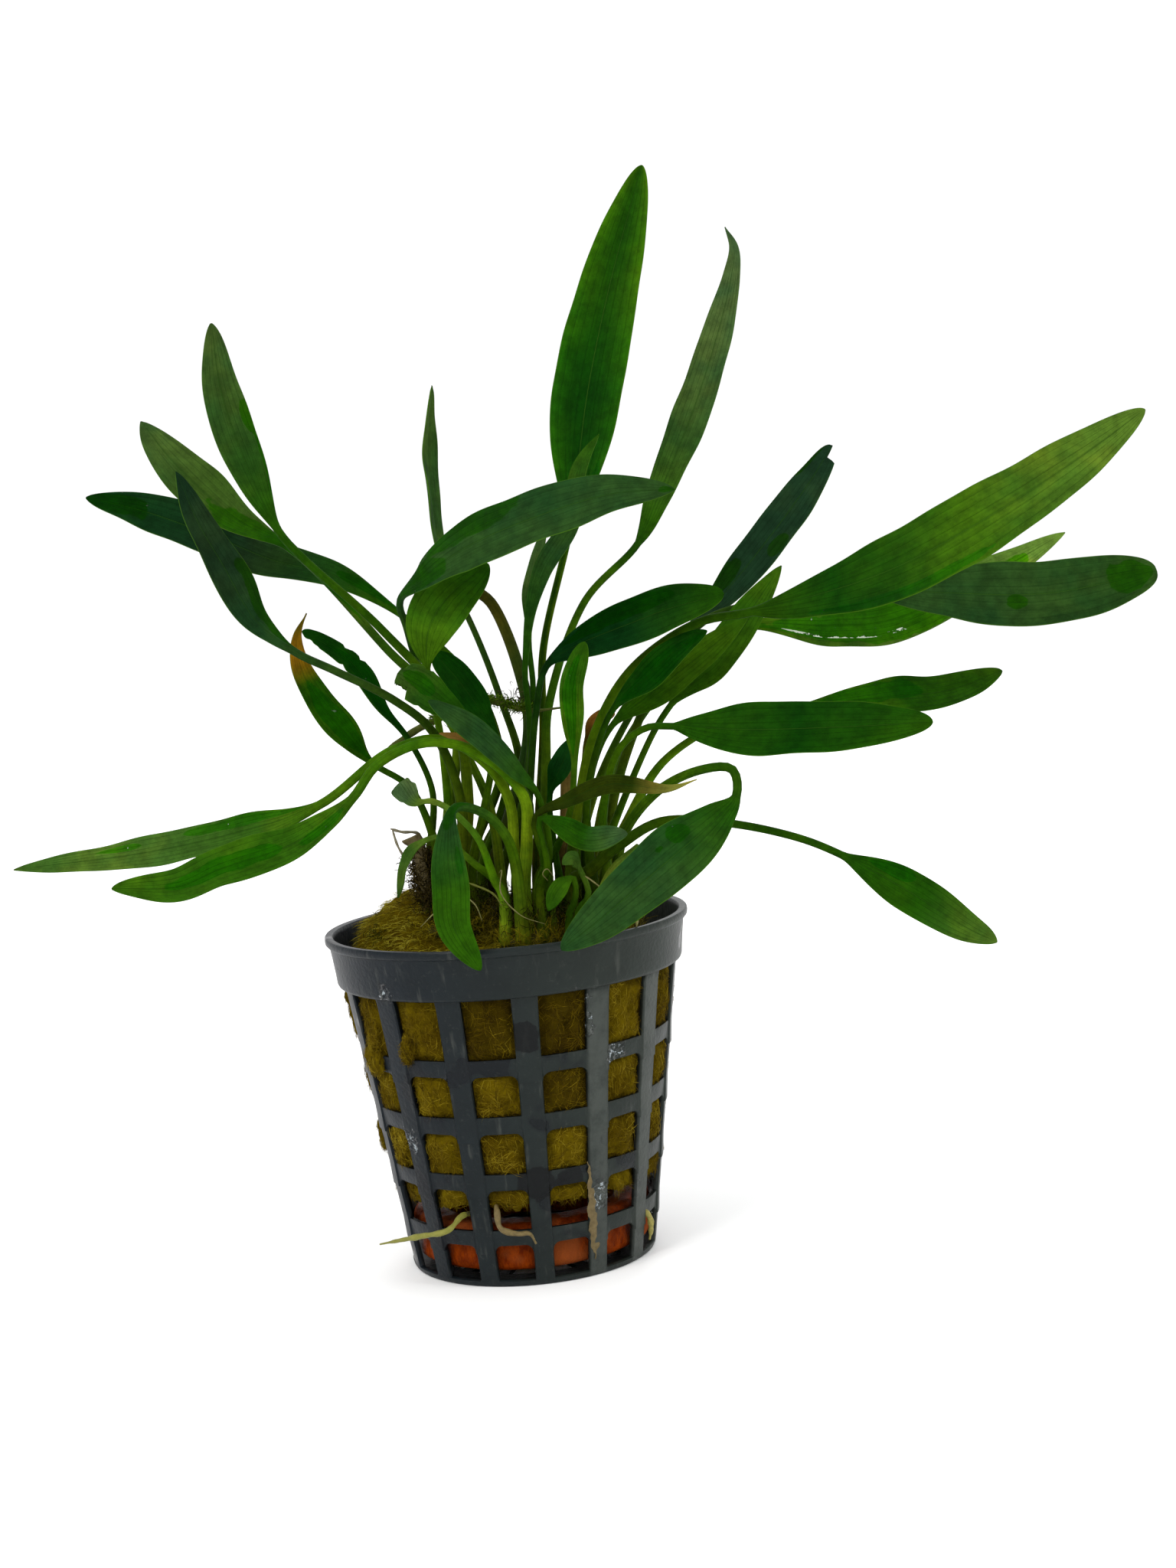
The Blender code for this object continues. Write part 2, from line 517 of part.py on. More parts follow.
def make_crown(name, collection):
    """A squat knobbly rootstock, narrower at its foot, that stands in its socket."""
    x, y, top = CROWNS[name]
    rings = []
    for share, depth in CROWN_LEVELS:
        ring = []
        for side in range(CROWN_SIDES):
            turn = 2.0 * math.pi * side / CROWN_SIDES
            reach = CROWN_RADIUS * share * (1.0 - CROWN_KNOB * (side % 2))
            ring.append((x + reach * math.cos(turn), y + reach * math.sin(turn), top - depth * CROWN_DEPTH))
        rings.append(ring)
    crown = loft("crown_" + name, rings, "crown", collection)
    round_off(crown)
    return crown


def foot_point(foot):
    """Where a stalk starts: just above its place on a crown, or in the wool's upper face."""
    if len(foot) == 2 and isinstance(foot[0], str):
        x, y, top = CROWNS[foot[0]]
        if foot[1] > 0:
            turn = 2.0 * math.pi * (foot[1] - 1) / FEET_IN_RING
            x += FEET_RING_RADIUS * math.cos(turn)
            y += FEET_RING_RADIUS * math.sin(turn)
        return Vector((x, y, top + CLEARANCE))
    return Vector((foot[0], foot[1], wool_top(*foot) + 2.0 * CLEARANCE))


def smooth_line(points, step=0.5):
    """Points close together on the smooth curve that passes through the given points."""
    points = [Vector(point) for point in points]
    before = points[0] * 2.0 - points[1]
    after = points[-1] * 2.0 - points[-2]
    padded = [before] + points + [after]
    line = [points[0]]
    for index in range(1, len(padded) - 2):
        a, b, c, d = padded[index - 1:index + 3]
        t0, t1 = 0.0, (b - a).length ** 0.5
        t2 = t1 + (c - b).length ** 0.5
        t3 = t2 + (d - c).length ** 0.5
        count = max(2, int((c - b).length / step))
        for number in range(1, count + 1):
            t = t1 + (t2 - t1) * number / count
            ab = a * ((t1 - t) / (t1 - t0)) + b * ((t - t0) / (t1 - t0))
            bc = b * ((t2 - t) / (t2 - t1)) + c * ((t - t1) / (t2 - t1))
            cd = c * ((t3 - t) / (t3 - t2)) + d * ((t - t2) / (t3 - t2))
            abc = ab * ((t2 - t) / (t2 - t0)) + bc * ((t - t0) / (t2 - t0))
            bcd = bc * ((t3 - t) / (t3 - t1)) + cd * ((t - t1) / (t3 - t1))
            line.append(abc * ((t2 - t) / (t2 - t1)) + bcd * ((t - t1) / (t2 - t1)))
    return line


def lengths_along(line):
    total = [0.0]
    for start, end in zip(line, line[1:]):
        total.append(total[-1] + (end - start).length)
    return total


def line_at(line, totals, length):
    """The point and the direction at a length along a line."""
    index = 1
    while index < len(totals) - 1 and totals[index] < length:
        index += 1
    span = totals[index] - totals[index - 1]
    share = (length - totals[index - 1]) / span
    point = line[index - 1].lerp(line[index], share)
    ahead = line[min(index + 1, len(line) - 1)] - line[max(index - 2, 0)]
    return point, ahead.normalized()


def across(direction, face):
    """The upward and sideways directions of a leaf that runs along a direction."""
    up = face - direction * face.dot(direction)
    up.normalize()
    return up, direction.cross(up)


def section(point, up, side, half_width, half_thickness, cup):
    """Six points round a stalk or across a blade, whose margins rise by the cup."""
    ring = []
    for number in range(LEAF_SIDES):
        turn = 2.0 * math.pi * number / LEAF_SIDES
        out = math.cos(turn) * half_width
        lift = math.sin(turn) * half_thickness / math.sin(math.pi / 3.0)
        rise = cup * half_width * math.cos(turn) ** 2
        ring.append(point + side * out + up * (lift + rise))
    return ring


def blade_share(share, widest, tip):
    """Width of a blade at a share of its length, as a part of its widest."""
    if share < widest:
        return math.sin(0.5 * math.pi * share / widest) ** BASE_POWER
    fall = min((share - widest) / (1.0 - widest), 1.0)
    return abs(math.cos(0.5 * math.pi * fall)) ** tip


def ring_places(line, totals, least):
    """Lengths along a line at which to put rings: closer together where it bends."""
    effort = [0.0]
    for index in range(1, len(line)):
        ahead = line[min(index + 1, len(line) - 1)] - line[index]
        behind = line[index] - line[index - 1]
        turn = behind.angle(ahead, 0.0)
        effort.append(effort[-1] + behind.length / SPAN_LENGTH + turn / SPAN_TURN)
    spans = max(least, round(effort[-1]))
    places = []
    index = 0
    for number in range(spans + 1):
        wanted = effort[-1] * number / spans
        while index < len(effort) - 2 and effort[index + 1] < wanted:
            index += 1
        part_way = (wanted - effort[index]) / (effort[index + 1] - effort[index])
        places.append(totals[index] + (totals[index + 1] - totals[index]) * min(part_way, 1.0))
    return places


def stalk_rings(line, foot_radius, top_radius, up_at_top):
    """Rings along a stalk, turned from the top down so that they never twist."""
    totals = lengths_along(line)
    rings = []
    up = up_at_top
    for place in reversed(ring_places(line, totals, STALK_SPANS)):
        point, direction = line_at(line, totals, place)
        up, side = across(direction, up)
        radius = foot_radius + (top_radius - foot_radius) * place / totals[-1]
        rings.append(section(point, up, side, radius, radius * math.sin(math.pi / 3.0), 0.0))
    return rings[::-1]


def make_leaf(leaf, collection):
    """A stalk that grows into a flat pointed blade, in one piece."""
    foot = foot_point(leaf.foot)
    rise = foot + Vector((0.0, 0.0, FOOT_RISE))
    stalk_points = [foot, rise] + [Vector(point) for point in leaf.stalk]
    blade_points = [Vector(point) for point in leaf.blade]
    whole = smooth_line(stalk_points + blade_points)
    base = min(range(len(whole)), key=lambda index: (whole[index] - blade_points[0]).length)
    stalk_line = whole[:base + 1]
    blade_line = whole[base:]
    face = Vector(leaf.face).normalized()
    totals = lengths_along(blade_line)
    top_radius = STALK_TOP_RADIUS + STALK_RADIUS_PER_WIDTH * leaf.width
    rings = stalk_rings(stalk_line, STALK_FOOT_RADIUS, top_radius, face)
    for place in ring_places(blade_line, totals, BLADE_SPANS)[1:]:
        share = place / totals[-1]
        point, direction = line_at(blade_line, totals, place)
        up, side = across(direction, face)
        width = max(leaf.width * blade_share(share, leaf.widest, leaf.tip), TIP_WIDTH)
        thickness = BLADE_THICKNESS if share < 0.999 else 0.5 * BLADE_THICKNESS
        rings.append(section(point, up, side, width / 2.0, thickness / 2.0, leaf.cup))
    obj = loft(leaf.name, rings, leaf.colour, collection)
    round_off(obj)
    return obj


def make_stalk(name, foot, points, end_radius, colour, collection):
    """A stalk that has lost its blade."""
    start = foot_point(foot)
    line = smooth_line([start, start + Vector((0.0, 0.0, FOOT_RISE))] + [Vector(point) for point in points])
    rings = stalk_rings(line, STALK_FOOT_RADIUS, end_radius, TOWARDS_FRONT)
    obj = loft(name, rings, colour, collection)
    round_off(obj)
    return obj


def make_strand(name, points, radius, colour, collection):
    """A twig or a root, of one thickness."""
    line = smooth_line(points)
    rings = stalk_rings(line, radius, radius, TOWARDS_FRONT)
    obj = loft(name, rings, colour, collection)
    round_off(obj)
    return obj


def main():
    clear_scene()
    plant = new_collection("potted_cryptocoryne")
    cutters = new_collection("cutters")
    make_pot(plant)
    make_clay_ring(plant)
    make_wool(plant, cutters)
    for name in CROWNS:
        make_crown(name, plant)
    for leaf in LEAVES:
        make_leaf(leaf, plant)
    for name, foot, points, end_radius, colour in STALKS:
        make_stalk(name, foot, points, end_radius, colour, plant)
    for name, points, radius, colour in STRANDS:
        make_strand(name, points, radius, colour, plant)


main()
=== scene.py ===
# %% [markdown]
# # A cryptocoryne in its net pot
# The object is one clump of an aquarium plant: strap-shaped leaves on long stalks, rooted in a plug of yellow-brown
# rock wool, in a small black net pot with a ring of fired clay in its bottom. The rigid solids come packed, in the
# right place and size. This script puts the visible surfaces on them, one kind of piece at a time.
#
# Almost everything here is a grid: points worked out by numpy for two parameters, such as the angle round a pot and
# the length along its profile. Sizes are in millimetres until a mesh is made, because a plant of 160 mm is easier to
# think about in whole numbers.

# %% Load the frame
import math

import bpy
import numpy as np
from mathutils import Matrix, Vector


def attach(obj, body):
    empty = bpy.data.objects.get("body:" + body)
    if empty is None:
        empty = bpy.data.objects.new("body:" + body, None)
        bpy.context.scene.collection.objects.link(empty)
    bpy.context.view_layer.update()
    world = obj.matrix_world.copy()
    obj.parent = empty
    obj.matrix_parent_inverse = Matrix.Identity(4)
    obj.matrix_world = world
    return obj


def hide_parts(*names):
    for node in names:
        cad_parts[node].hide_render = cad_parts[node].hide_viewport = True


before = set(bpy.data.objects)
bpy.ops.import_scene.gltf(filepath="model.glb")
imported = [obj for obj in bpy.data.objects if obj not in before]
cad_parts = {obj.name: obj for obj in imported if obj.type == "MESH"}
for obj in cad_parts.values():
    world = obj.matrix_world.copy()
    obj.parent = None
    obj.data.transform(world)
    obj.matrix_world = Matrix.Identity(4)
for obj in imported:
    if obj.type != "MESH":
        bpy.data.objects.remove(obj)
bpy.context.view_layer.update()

MM = 0.001

# %% [markdown]
# ## Three tools for every surface
# A grid of points becomes a mesh once its neighbours are joined by four-sided faces. The order of the four corners
# decides which side is the outside, so it is settled here once. Grids that close on themselves, such as a tube, join
# their last column to the first. A tube's open ends are closed by a fan of triangles round one middle point.
#
# Natural things also need unevenness. A sum of sine waves in random directions is smooth, has no seams and can be
# worked out for any number of points at once, so it serves as noise wherever the shape itself is uneven.

# %% Angles and faces of a grid
def full_turn(steps):
    """Angles in equal steps once round, in radians."""
    return 2.0 * math.pi * np.arange(steps) / steps


def outwards(turn):
    """Level directions away from the upright axis, at angles from the front."""
    return np.stack((np.sin(turn), -np.cos(turn), 0.0 * turn), axis=-1)


def round_axis(radius, height, turn):
    """Points at a radius and a height, at angles round the upright axis."""
    return np.stack((radius * np.cos(turn), radius * np.sin(turn), height + 0.0 * turn), axis=-1)


def grid_faces(rows, columns, keep=None):
    """Corners of each cell of a grid whose last column joins the first. Seen from the side that they face, the
    columns run to the right and the rows upwards. keep says for each cell whether it has a face."""
    row, column = np.meshgrid(np.arange(rows - 1), np.arange(columns), indexing="ij")
    after = (column + 1) % columns
    faces = np.stack((row * columns + column, row * columns + after,
                      (row + 1) * columns + after, (row + 1) * columns + column), axis=-1)
    return faces.reshape(-1, 4) if keep is None else faces[keep]


def fan_faces(pole, first, columns, upwards):
    """Triangles from a pole to the ring of points that starts at index first."""
    here = first + np.arange(columns)
    after = first + (np.arange(columns) + 1) % columns
    pair = (here, after) if upwards else (after, here)
    return np.stack((np.full(columns, pole), *pair), axis=-1)


def closed_surface(rings, inside_out=False):
    """Points and faces of a tube through rings (rows, columns, 3), closed at both ends by a fan round a pole at the
    mean of the end ring. inside_out turns all faces round."""
    rows, columns = rings.shape[:2]
    points = np.concatenate((rings.reshape(-1, 3), rings[:1].mean(1), rings[-1:].mean(1)))
    quads = grid_faces(rows, columns)
    ends = np.concatenate((fan_faces(rows * columns, 0, columns, False),
                           fan_faces(rows * columns + 1, (rows - 1) * columns, columns, True)))
    if inside_out:
        quads, ends = quads[:, ::-1], ends[:, ::-1]
    return points, quads.tolist() + ends.tolist()


print("faces of a grid of 3 by 8 points:", len(grid_faces(3, 8)))


# %% From points to a piece
def make_mesh(name, points, faces, sharp_over=None):
    """A smooth-shaded mesh from points in millimetres. Edges that turn by more than sharp_over degrees stay crisp."""
    mesh = bpy.data.meshes.new(name)
    mesh.from_pydata((np.asarray(points) * MM).tolist(), [], faces)
    mesh.shade_smooth()
    if sharp_over:
        mesh.set_sharp_from_angle(angle=math.radians(sharp_over))
    return mesh


def show(name, mesh, finish, slot, *stands_for):
    """Puts a finished mesh in the scene as a piece that moves with the root body and stands for solids."""
    mesh.materials.append(finish)
    piece = bpy.data.objects.new(name, mesh)
    bpy.context.scene.collection.objects.link(piece)
    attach(piece, "root")
    if stands_for:
        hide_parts(*stands_for)


def show_surface(name, surface, finish, slot, *stands_for, sharp_over=None):
    """Makes a surface, given as points and faces, a mesh and shows it."""
    points, faces = surface
    show(name, make_mesh(name, points, faces, sharp_over), finish, slot, *stands_for)
    print(name + ":", len(faces), "faces")


def joined(surfaces):
    """Several surfaces as one: the points behind each other, and the faces counted on."""
    count = np.cumsum([0] + [len(points) for points, _ in surfaces])
    faces = [[corner + first for corner in face] for first, (_, some) in zip(count, surfaces) for face in some]
    return np.concatenate([points for points, _ in surfaces]), faces


# %% Noise and easing
WAVE_SPREAD = (0.6, 1.6)


def ripple(points, wavelength, seed, waves=20):
    """Smooth noise of about -1 to 1 at points: the sum of sine waves in random directions, whose lengths lie round
    the given one, divided by the square root of half their number."""
    draw = np.random.default_rng(seed)
    direction = draw.normal(size=(waves, 3))
    direction /= np.linalg.norm(direction, axis=1)[:, None]
    number = 2.0 * math.pi / (wavelength * draw.uniform(*WAVE_SPREAD, waves))
    phase = draw.uniform(0.0, 2.0 * math.pi, waves)
    total = np.zeros(points.shape[:-1])
    for way, count, start in zip(direction, number, phase):
        total += np.sin(points @ way * count + start)
    return total / math.sqrt(waves / 2.0) / 2.0


def ease(value):
    """0 below 0, 1 above 1, and a smooth S between: 3 v squared minus 2 v cubed."""
    share = np.clip(value, 0.0, 1.0)
    return share * share * (3.0 - 2.0 * share)


print("a quarter of the way eases to", ease(0.25))

# %% [markdown]
# ## How a finish is written
# A finish is Blender's Principled shader with a few nodes in front of it: something that varies over the surface, such
# as noise or a stripe, and a ramp that turns it into a colour, a roughness or a bump. Numbers that are the same
# everywhere are set on the shader itself. A few helpers keep the node lists short: one makes any node and links it, and
# the others stand for what comes up again and again, such as spots, a colour laid over another, or a bump.

# %% A new finish and its nodes
def new_finish(name, roughness, specular=0.5):
    """A material with its Principled shader, the tree and the shader's node."""
    material = bpy.data.materials.new(name)
    material.use_nodes = True
    tree = material.node_tree
    shader = tree.nodes["Principled BSDF"]
    shader.inputs["Roughness"].default_value = roughness
    shader.inputs["Specular IOR Level"].default_value = specular
    return material, tree, shader


def feed(tree, value, socket):
    """Links another node's output to an input, or sets the input to a value."""
    if isinstance(value, bpy.types.NodeSocket):
        tree.links.new(value, socket)
    else:
        socket.default_value = value


def add(tree, kind, inputs=None, **settings):
    """A node with its settings, and inputs that are either values or other nodes' outputs."""
    node = tree.nodes.new(kind)
    for key, value in settings.items():
        setattr(node, key, value)
    for key, value in (inputs or {}).items():
        feed(tree, value, node.inputs[key])
    return node


def attribute(tree, name, output="Color"):
    """What the mesh stores for its points under a name."""
    return add(tree, "ShaderNodeAttribute", attribute_name=name, attribute_type="GEOMETRY").outputs[output]


print("made: new_finish, feed, add, attribute")


# %% Patterns, sums and bumps
# The mix node has inputs for several kinds of value. These are the share, the two colours and the mixed colour.
COLOUR_MIX_INPUTS, COLOUR_MIX_OUTPUT = (0, 6, 7), 2


def spots(tree, scale, detail=2.0, roughness=0.5, stretch=(1.0, 1.0, 1.0)):
    """Noise of 0 to 1 on Object coordinates, in spots of about 1/scale metres, stretched along the axes."""
    place = add(tree, "ShaderNodeTexCoord").outputs["Object"]
    if stretch != (1.0, 1.0, 1.0):
        place = add(tree, "ShaderNodeMapping", {"Vector": place, "Scale": stretch}).outputs["Vector"]
    noise = add(tree, "ShaderNodeTexNoise", {"Vector": place, "Scale": scale, "Detail": detail,
                                             "Roughness": roughness})
    return noise.outputs["Fac"]


def between(tree, value, low, high, to_low=0.0, to_high=1.0):
    """Maps value from low..high to to_low..to_high, with soft ends."""
    node = add(tree, "ShaderNodeMapRange", {"Value": value, "From Min": low, "From Max": high,
                                            "To Min": to_low, "To Max": to_high}, interpolation_type="SMOOTHSTEP")
    return node.outputs["Result"]


def blend_colours(tree, share, first, second, kind="MIX"):
    """first where share is 0, second where it is 1. Colours are outputs or (r, g, b)."""
    node = add(tree, "ShaderNodeMix", data_type="RGBA", blend_type=kind)
    for number, value in zip(COLOUR_MIX_INPUTS, (share, first, second)):
        feed(tree, (*value, 1.0) if isinstance(value, tuple) else value, node.inputs[number])
    return node.outputs[COLOUR_MIX_OUTPUT]


def laid_over(tree, below, colour, where, strength=1.0):
    """A colour laid over another one where the share is 1, at the given strength."""
    share = where if strength == 1.0 else compute(tree, "MULTIPLY", where, strength)
    return blend_colours(tree, share, below, colour)


def toned(tree, colour, factor):
    """A colour times a factor, which is a number that varies or an (r, g, b)."""
    return blend_colours(tree, 1.0, colour, factor, "MULTIPLY")


def compute(tree, operation, *values):
    """One step of arithmetic on outputs and numbers."""
    node = add(tree, "ShaderNodeMath", operation=operation)
    for socket, value in zip(node.inputs, values):
        feed(tree, value, socket)
    return node.outputs[0]


def roughen(tree, shader, height, distance):
    """Bump of the given depth in metres from a height of 0 to 1."""
    bump = add(tree, "ShaderNodeBump", {"Height": height, "Distance": distance, "Strength": 1.0})
    feed(tree, bump.outputs["Normal"], shader.inputs["Normal"])


print("made: spots, between, blend_colours, laid_over, toned, compute, roughen")

# %% [markdown]
# ## Lines, tubes and strands
# Stalks, roots and fibres all follow a line. The line goes through a few points along a smooth curve, which passes
# through every point and doesn't overshoot when it is timed by the square root of their distances. A tube puts a ring
# of points round each place of the line. Its upward direction is carried from ring to ring, so that it never twists.
# Fibres are needed by the thousand, so each of them is only a spindle of 12 triangles, and all are worked out at once.

# %% A smooth line and its frame
def towards(a, b, t, at_a, at_b):
    """Where a point is at the times t, if it goes straight from a, at the time at_a, to b, at the time at_b."""
    return a * (at_b - t) / (at_b - at_a) + b * (t - at_a) / (at_b - at_a)


def smooth_line(points, spacing=0.25):
    """Points close together on the curve through the given ones, with mirrored ends. Each stretch blends the straight
    ways between its four nearest points, timed by the square root of their distances."""
    points = np.array(points, float)
    points = np.concatenate(([2 * points[0] - points[1]], points, [2 * points[-1] - points[-2]]))
    line = [points[1][None]]
    for a, b, c, d in zip(points, points[1:], points[2:], points[3:]):
        t0, t1 = 0.0, math.sqrt(np.linalg.norm(b - a))
        t2 = t1 + math.sqrt(np.linalg.norm(c - b))
        t3 = t2 + math.sqrt(np.linalg.norm(d - c))
        count = max(2, int(np.linalg.norm(c - b) / spacing))
        t = (t1 + (t2 - t1) * np.arange(1, count + 1) / count)[:, None]
        ab, bc, cd = towards(a, b, t, t0, t1), towards(b, c, t, t1, t2), towards(c, d, t, t2, t3)
        line.append(towards(towards(ab, bc, t, t0, t2), towards(bc, cd, t, t1, t3), t, t1, t2))
    return np.concatenate(line)


def at_places(places, knots, values):
    """Rows of values, which are known at the knots, at the places between them."""
    return np.stack([np.interp(places, knots, column) for column in np.transpose(values)], axis=-1)


def lengths_along(line):
    """The length from the start to each point of the line."""
    return np.concatenate(([0.0], np.cumsum(np.linalg.norm(np.diff(line, axis=0), axis=1))))


def at_shares(line, shares):
    """Points of the line at these shares of its length."""
    total = lengths_along(line)
    return at_places(shares * total[-1], total, line)


def evenly(line, count):
    """The line again with points at equal lengths."""
    return at_shares(line, np.linspace(0.0, 1.0, count))


def unit(vectors):
    """The vectors divided by their lengths."""
    return vectors / np.linalg.norm(vectors, axis=-1)[..., None]


def carried_up(ahead, face, steady_from):
    """An upward direction square to the line at each of its points: the leaf's face in the blade, which starts at
    steady_from, and carried down the stalk from ring to ring so that it never twists."""
    up = unit(face - ahead * (ahead @ face)[:, None])
    for index in range(steady_from - 1, -1, -1):
        above = up[index + 1]
        up[index] = above - ahead[index] * (above @ ahead[index])
        up[index] /= np.linalg.norm(up[index])
    return up


FIRST_UP = np.array((0.3, -1.0, 0.25))


def tube(line, radius, sides=8):
    """Rings of a round tube along a line, whose radius is one number or one for each point."""
    ahead = unit(np.gradient(line, axis=0))
    up = carried_up(ahead, FIRST_UP, len(line) - 1)
    side = np.cross(ahead, up)
    turn = full_turn(sides)
    radius = np.broadcast_to(radius, len(line))[:, None, None]
    ring = np.cos(turn)[None, :, None] * side[:, None] + np.sin(turn)[None, :, None] * up[:, None]
    return line[:, None] + radius * ring


bow = smooth_line(((0, 0, 0), (10, 5, 0), (20, 0, 0)))
print("a bow 20 mm wide and 5 mm high is", round(lengths_along(bow)[-1], 1), "mm long")


# %% Thousands of fine strands
STRAND_POINTS = 8
STRAND_ENDS = np.array(((0, 2, 1), (0, 3, 2), (0, 1, 3), (7, 4, 5), (7, 5, 6), (7, 6, 4)))
STRAND_SIDES = np.array(((1, 2, 5, 4), (2, 3, 6, 5), (3, 1, 4, 6)))
STRAND_SIDEWAYS = (0.31, 0.22, 0.93)


def strands(start, middle, end, radius):
    """Points and faces of spindles along the curves (1-t)^2 start + 2t(1-t) middle + t^2 end. Each has a pole at both
    ends, and rings of three points at a third and two thirds of its way."""
    t = np.array((1.0 / 3.0, 2.0 / 3.0))[:, None]
    centre = (1.0 - t) ** 2 * start[:, None] + 2.0 * t * (1.0 - t) * middle[:, None] + t ** 2 * end[:, None]
    ahead = unit(end - start)
    side = unit(np.cross(ahead, STRAND_SIDEWAYS))
    other = np.cross(ahead, side)
    bend = full_turn(3)
    ring = np.cos(bend)[:, None] * side[:, None] + np.sin(bend)[:, None] * other[:, None]
    rings = centre[:, :, None] + radius[:, None, None, None] * ring[:, None]
    points = np.concatenate((start[:, None], rings.reshape(len(start), 6, 3), end[:, None]), axis=1)
    first = STRAND_POINTS * np.arange(len(start))[:, None, None]
    faces = (first + STRAND_ENDS).reshape(-1, 3).tolist() + (first + STRAND_SIDES).reshape(-1, 4).tolist()
    return points.reshape(-1, 3), faces


def colour_points(mesh, colours):
    """Stores one colour for each point as the attribute tint."""
    shades = np.concatenate((colours, np.ones((len(colours), 1))), axis=1).astype(np.float32)
    mesh.attributes.new("tint", "FLOAT_COLOR", "POINT").data.foreach_set("color", shades.ravel())


def strand_finish(name, roughness, specular):
    """A finish whose colour is the attribute tint, with a fine grain of 0.4 mm spots and a bump of 0.04 mm."""
    material, tree, shader = new_finish(name, roughness, specular)
    grain = spots(tree, 2500.0, 3.0, 0.6)
    colour = toned(tree, attribute(tree, "tint"), between(tree, grain, 0.3, 0.7, 0.75, 1.2))
    feed(tree, colour, shader.inputs["Base Color"])
    roughen(tree, shader, grain, 0.04 * MM)
    return material


def show_strands(name, start, middle, end, radius, colours, finish, slot):
    """A piece made of strands, one colour for each."""
    mesh = make_mesh(name, *strands(start, middle, end, radius))
    colour_points(mesh, np.repeat(colours, STRAND_POINTS, axis=0))
    show(name, mesh, finish, slot)
    print(name + ":", len(start), "strands")


# %% [markdown]
# ## The camera
# The photograph was taken a little from above and slightly rolled. The camera's place comes from the pot, whose lip,
# hoops and ribs have known sizes: 357 mm in front of the pot's axis and 104 mm above the table.

# %% Camera
CAMERA_PLACE = (0.0, -0.3567, 0.1045)
CAMERA_YAW, CAMERA_PITCH, CAMERA_ROLL = (math.radians(turn) for turn in (2.201, 5.726, -4.865))
CAMERA_LENS, CAMERA_SENSOR = 56.25, 36.0
NEAREST_SEEN = 0.01


def aimed_camera():
    """Looks along yaw and pitch, then turns round its own axis by the roll."""
    ahead = Vector((math.sin(CAMERA_YAW) * math.cos(CAMERA_PITCH),
                    math.cos(CAMERA_YAW) * math.cos(CAMERA_PITCH), -math.sin(CAMERA_PITCH)))
    level = ahead.cross(Vector((0.0, 0.0, 1.0))).normalized()
    upright = level.cross(ahead)
    right = level * math.cos(CAMERA_ROLL) + upright * math.sin(CAMERA_ROLL)
    up = upright * math.cos(CAMERA_ROLL) - level * math.sin(CAMERA_ROLL)
    lens = bpy.data.cameras.new("camera")
    lens.lens = CAMERA_LENS
    lens.sensor_width = CAMERA_SENSOR
    lens.clip_start = NEAREST_SEEN
    camera = bpy.data.objects.new("camera", lens)
    camera.matrix_world = Matrix((right, up, -ahead)).transposed().to_4x4()
    camera.location = CAMERA_PLACE
    bpy.context.scene.collection.objects.link(camera)
    return camera


bpy.context.scene.camera = aimed_camera()
print("camera at", CAMERA_PLACE)

# %% [markdown]
# ## The studio
# The object stands on a plain pale floor that curves up far away, like a very wide shallow dish, so that no edge
# shows from any side. The surrounding light is white. Three large soft lamps give the pot and the leaves their form:
# the strongest from the upper left front, and weaker ones from the right and from behind.

# %% Floor
DISH_PROFILE = ((0.3, 0.0), (0.8, 0.0), (1.6, 0.0), (2.4, 0.08), (3.0, 0.35), (3.3, 0.8), (3.4, 1.4))
DISH_SIDES = 64
FLOOR_COLOUR = (0.97, 0.97, 0.97, 1.0)
FLOOR_ROUGHNESS, FLOOR_SPECULAR = 0.9, 0.1


def pale_floor():
    """A dish: its profile of radius and height, in metres, turned round the upright axis, with a pole in its middle."""
    rings = round_axis(*np.array(DISH_PROFILE).T[..., None], full_turn(DISH_SIDES))
    faces = grid_faces(len(rings), DISH_SIDES)[:, ::-1].tolist()
    faces += fan_faces(len(rings) * DISH_SIDES, 0, DISH_SIDES, True).tolist()
    mesh = bpy.data.meshes.new("pale_floor")
    mesh.from_pydata(np.concatenate((rings.reshape(-1, 3), np.zeros((1, 3)))).tolist(), [], faces)
    mesh.shade_smooth()
    paint, _, shader = new_finish("pale_floor", FLOOR_ROUGHNESS, FLOOR_SPECULAR)
    shader.inputs["Base Color"].default_value = FLOOR_COLOUR
    mesh.materials.append(paint)
    floor = bpy.data.objects.new("pale_floor", mesh)
    bpy.context.scene.collection.objects.link(floor)


pale_floor()
print("floor:", len(DISH_PROFILE), "rings")

# %% Light
LAMPS = {
    # place, the point that it faces, side of its square, power, colour
    "lamp_left": ((-0.7, -0.8, 1.1), (0.0, 0.0, 0.08), 0.5, 9.0, (1.0, 0.99, 0.97)),
    "lamp_right": ((0.9, -0.5, 0.7), (0.0, 0.0, 0.06), 0.4, 3.0, (0.97, 0.99, 1.0)),
    "lamp_back": ((0.2, 1.0, 0.9), (0.0, 0.0, 0.08), 0.6, 4.0, (1.0, 1.0, 1.0)),
}
WORLD_COLOUR, WORLD_LIGHT = (1.0, 1.0, 1.0, 1.0), 1.03


def soft_lamp(name, place, target, size, power, colour):
    """A square lamp that faces its target."""
    lamp = bpy.data.lights.new(name, "AREA")
    lamp.size = size
    lamp.energy = power
    lamp.color = colour
    holder = bpy.data.objects.new(name, lamp)
    holder.location = place
    holder.rotation_mode = "QUATERNION"
    holder.rotation_quaternion = (Vector(target) - Vector(place)).to_track_quat("-Z", "Y")
    bpy.context.scene.collection.objects.link(holder)


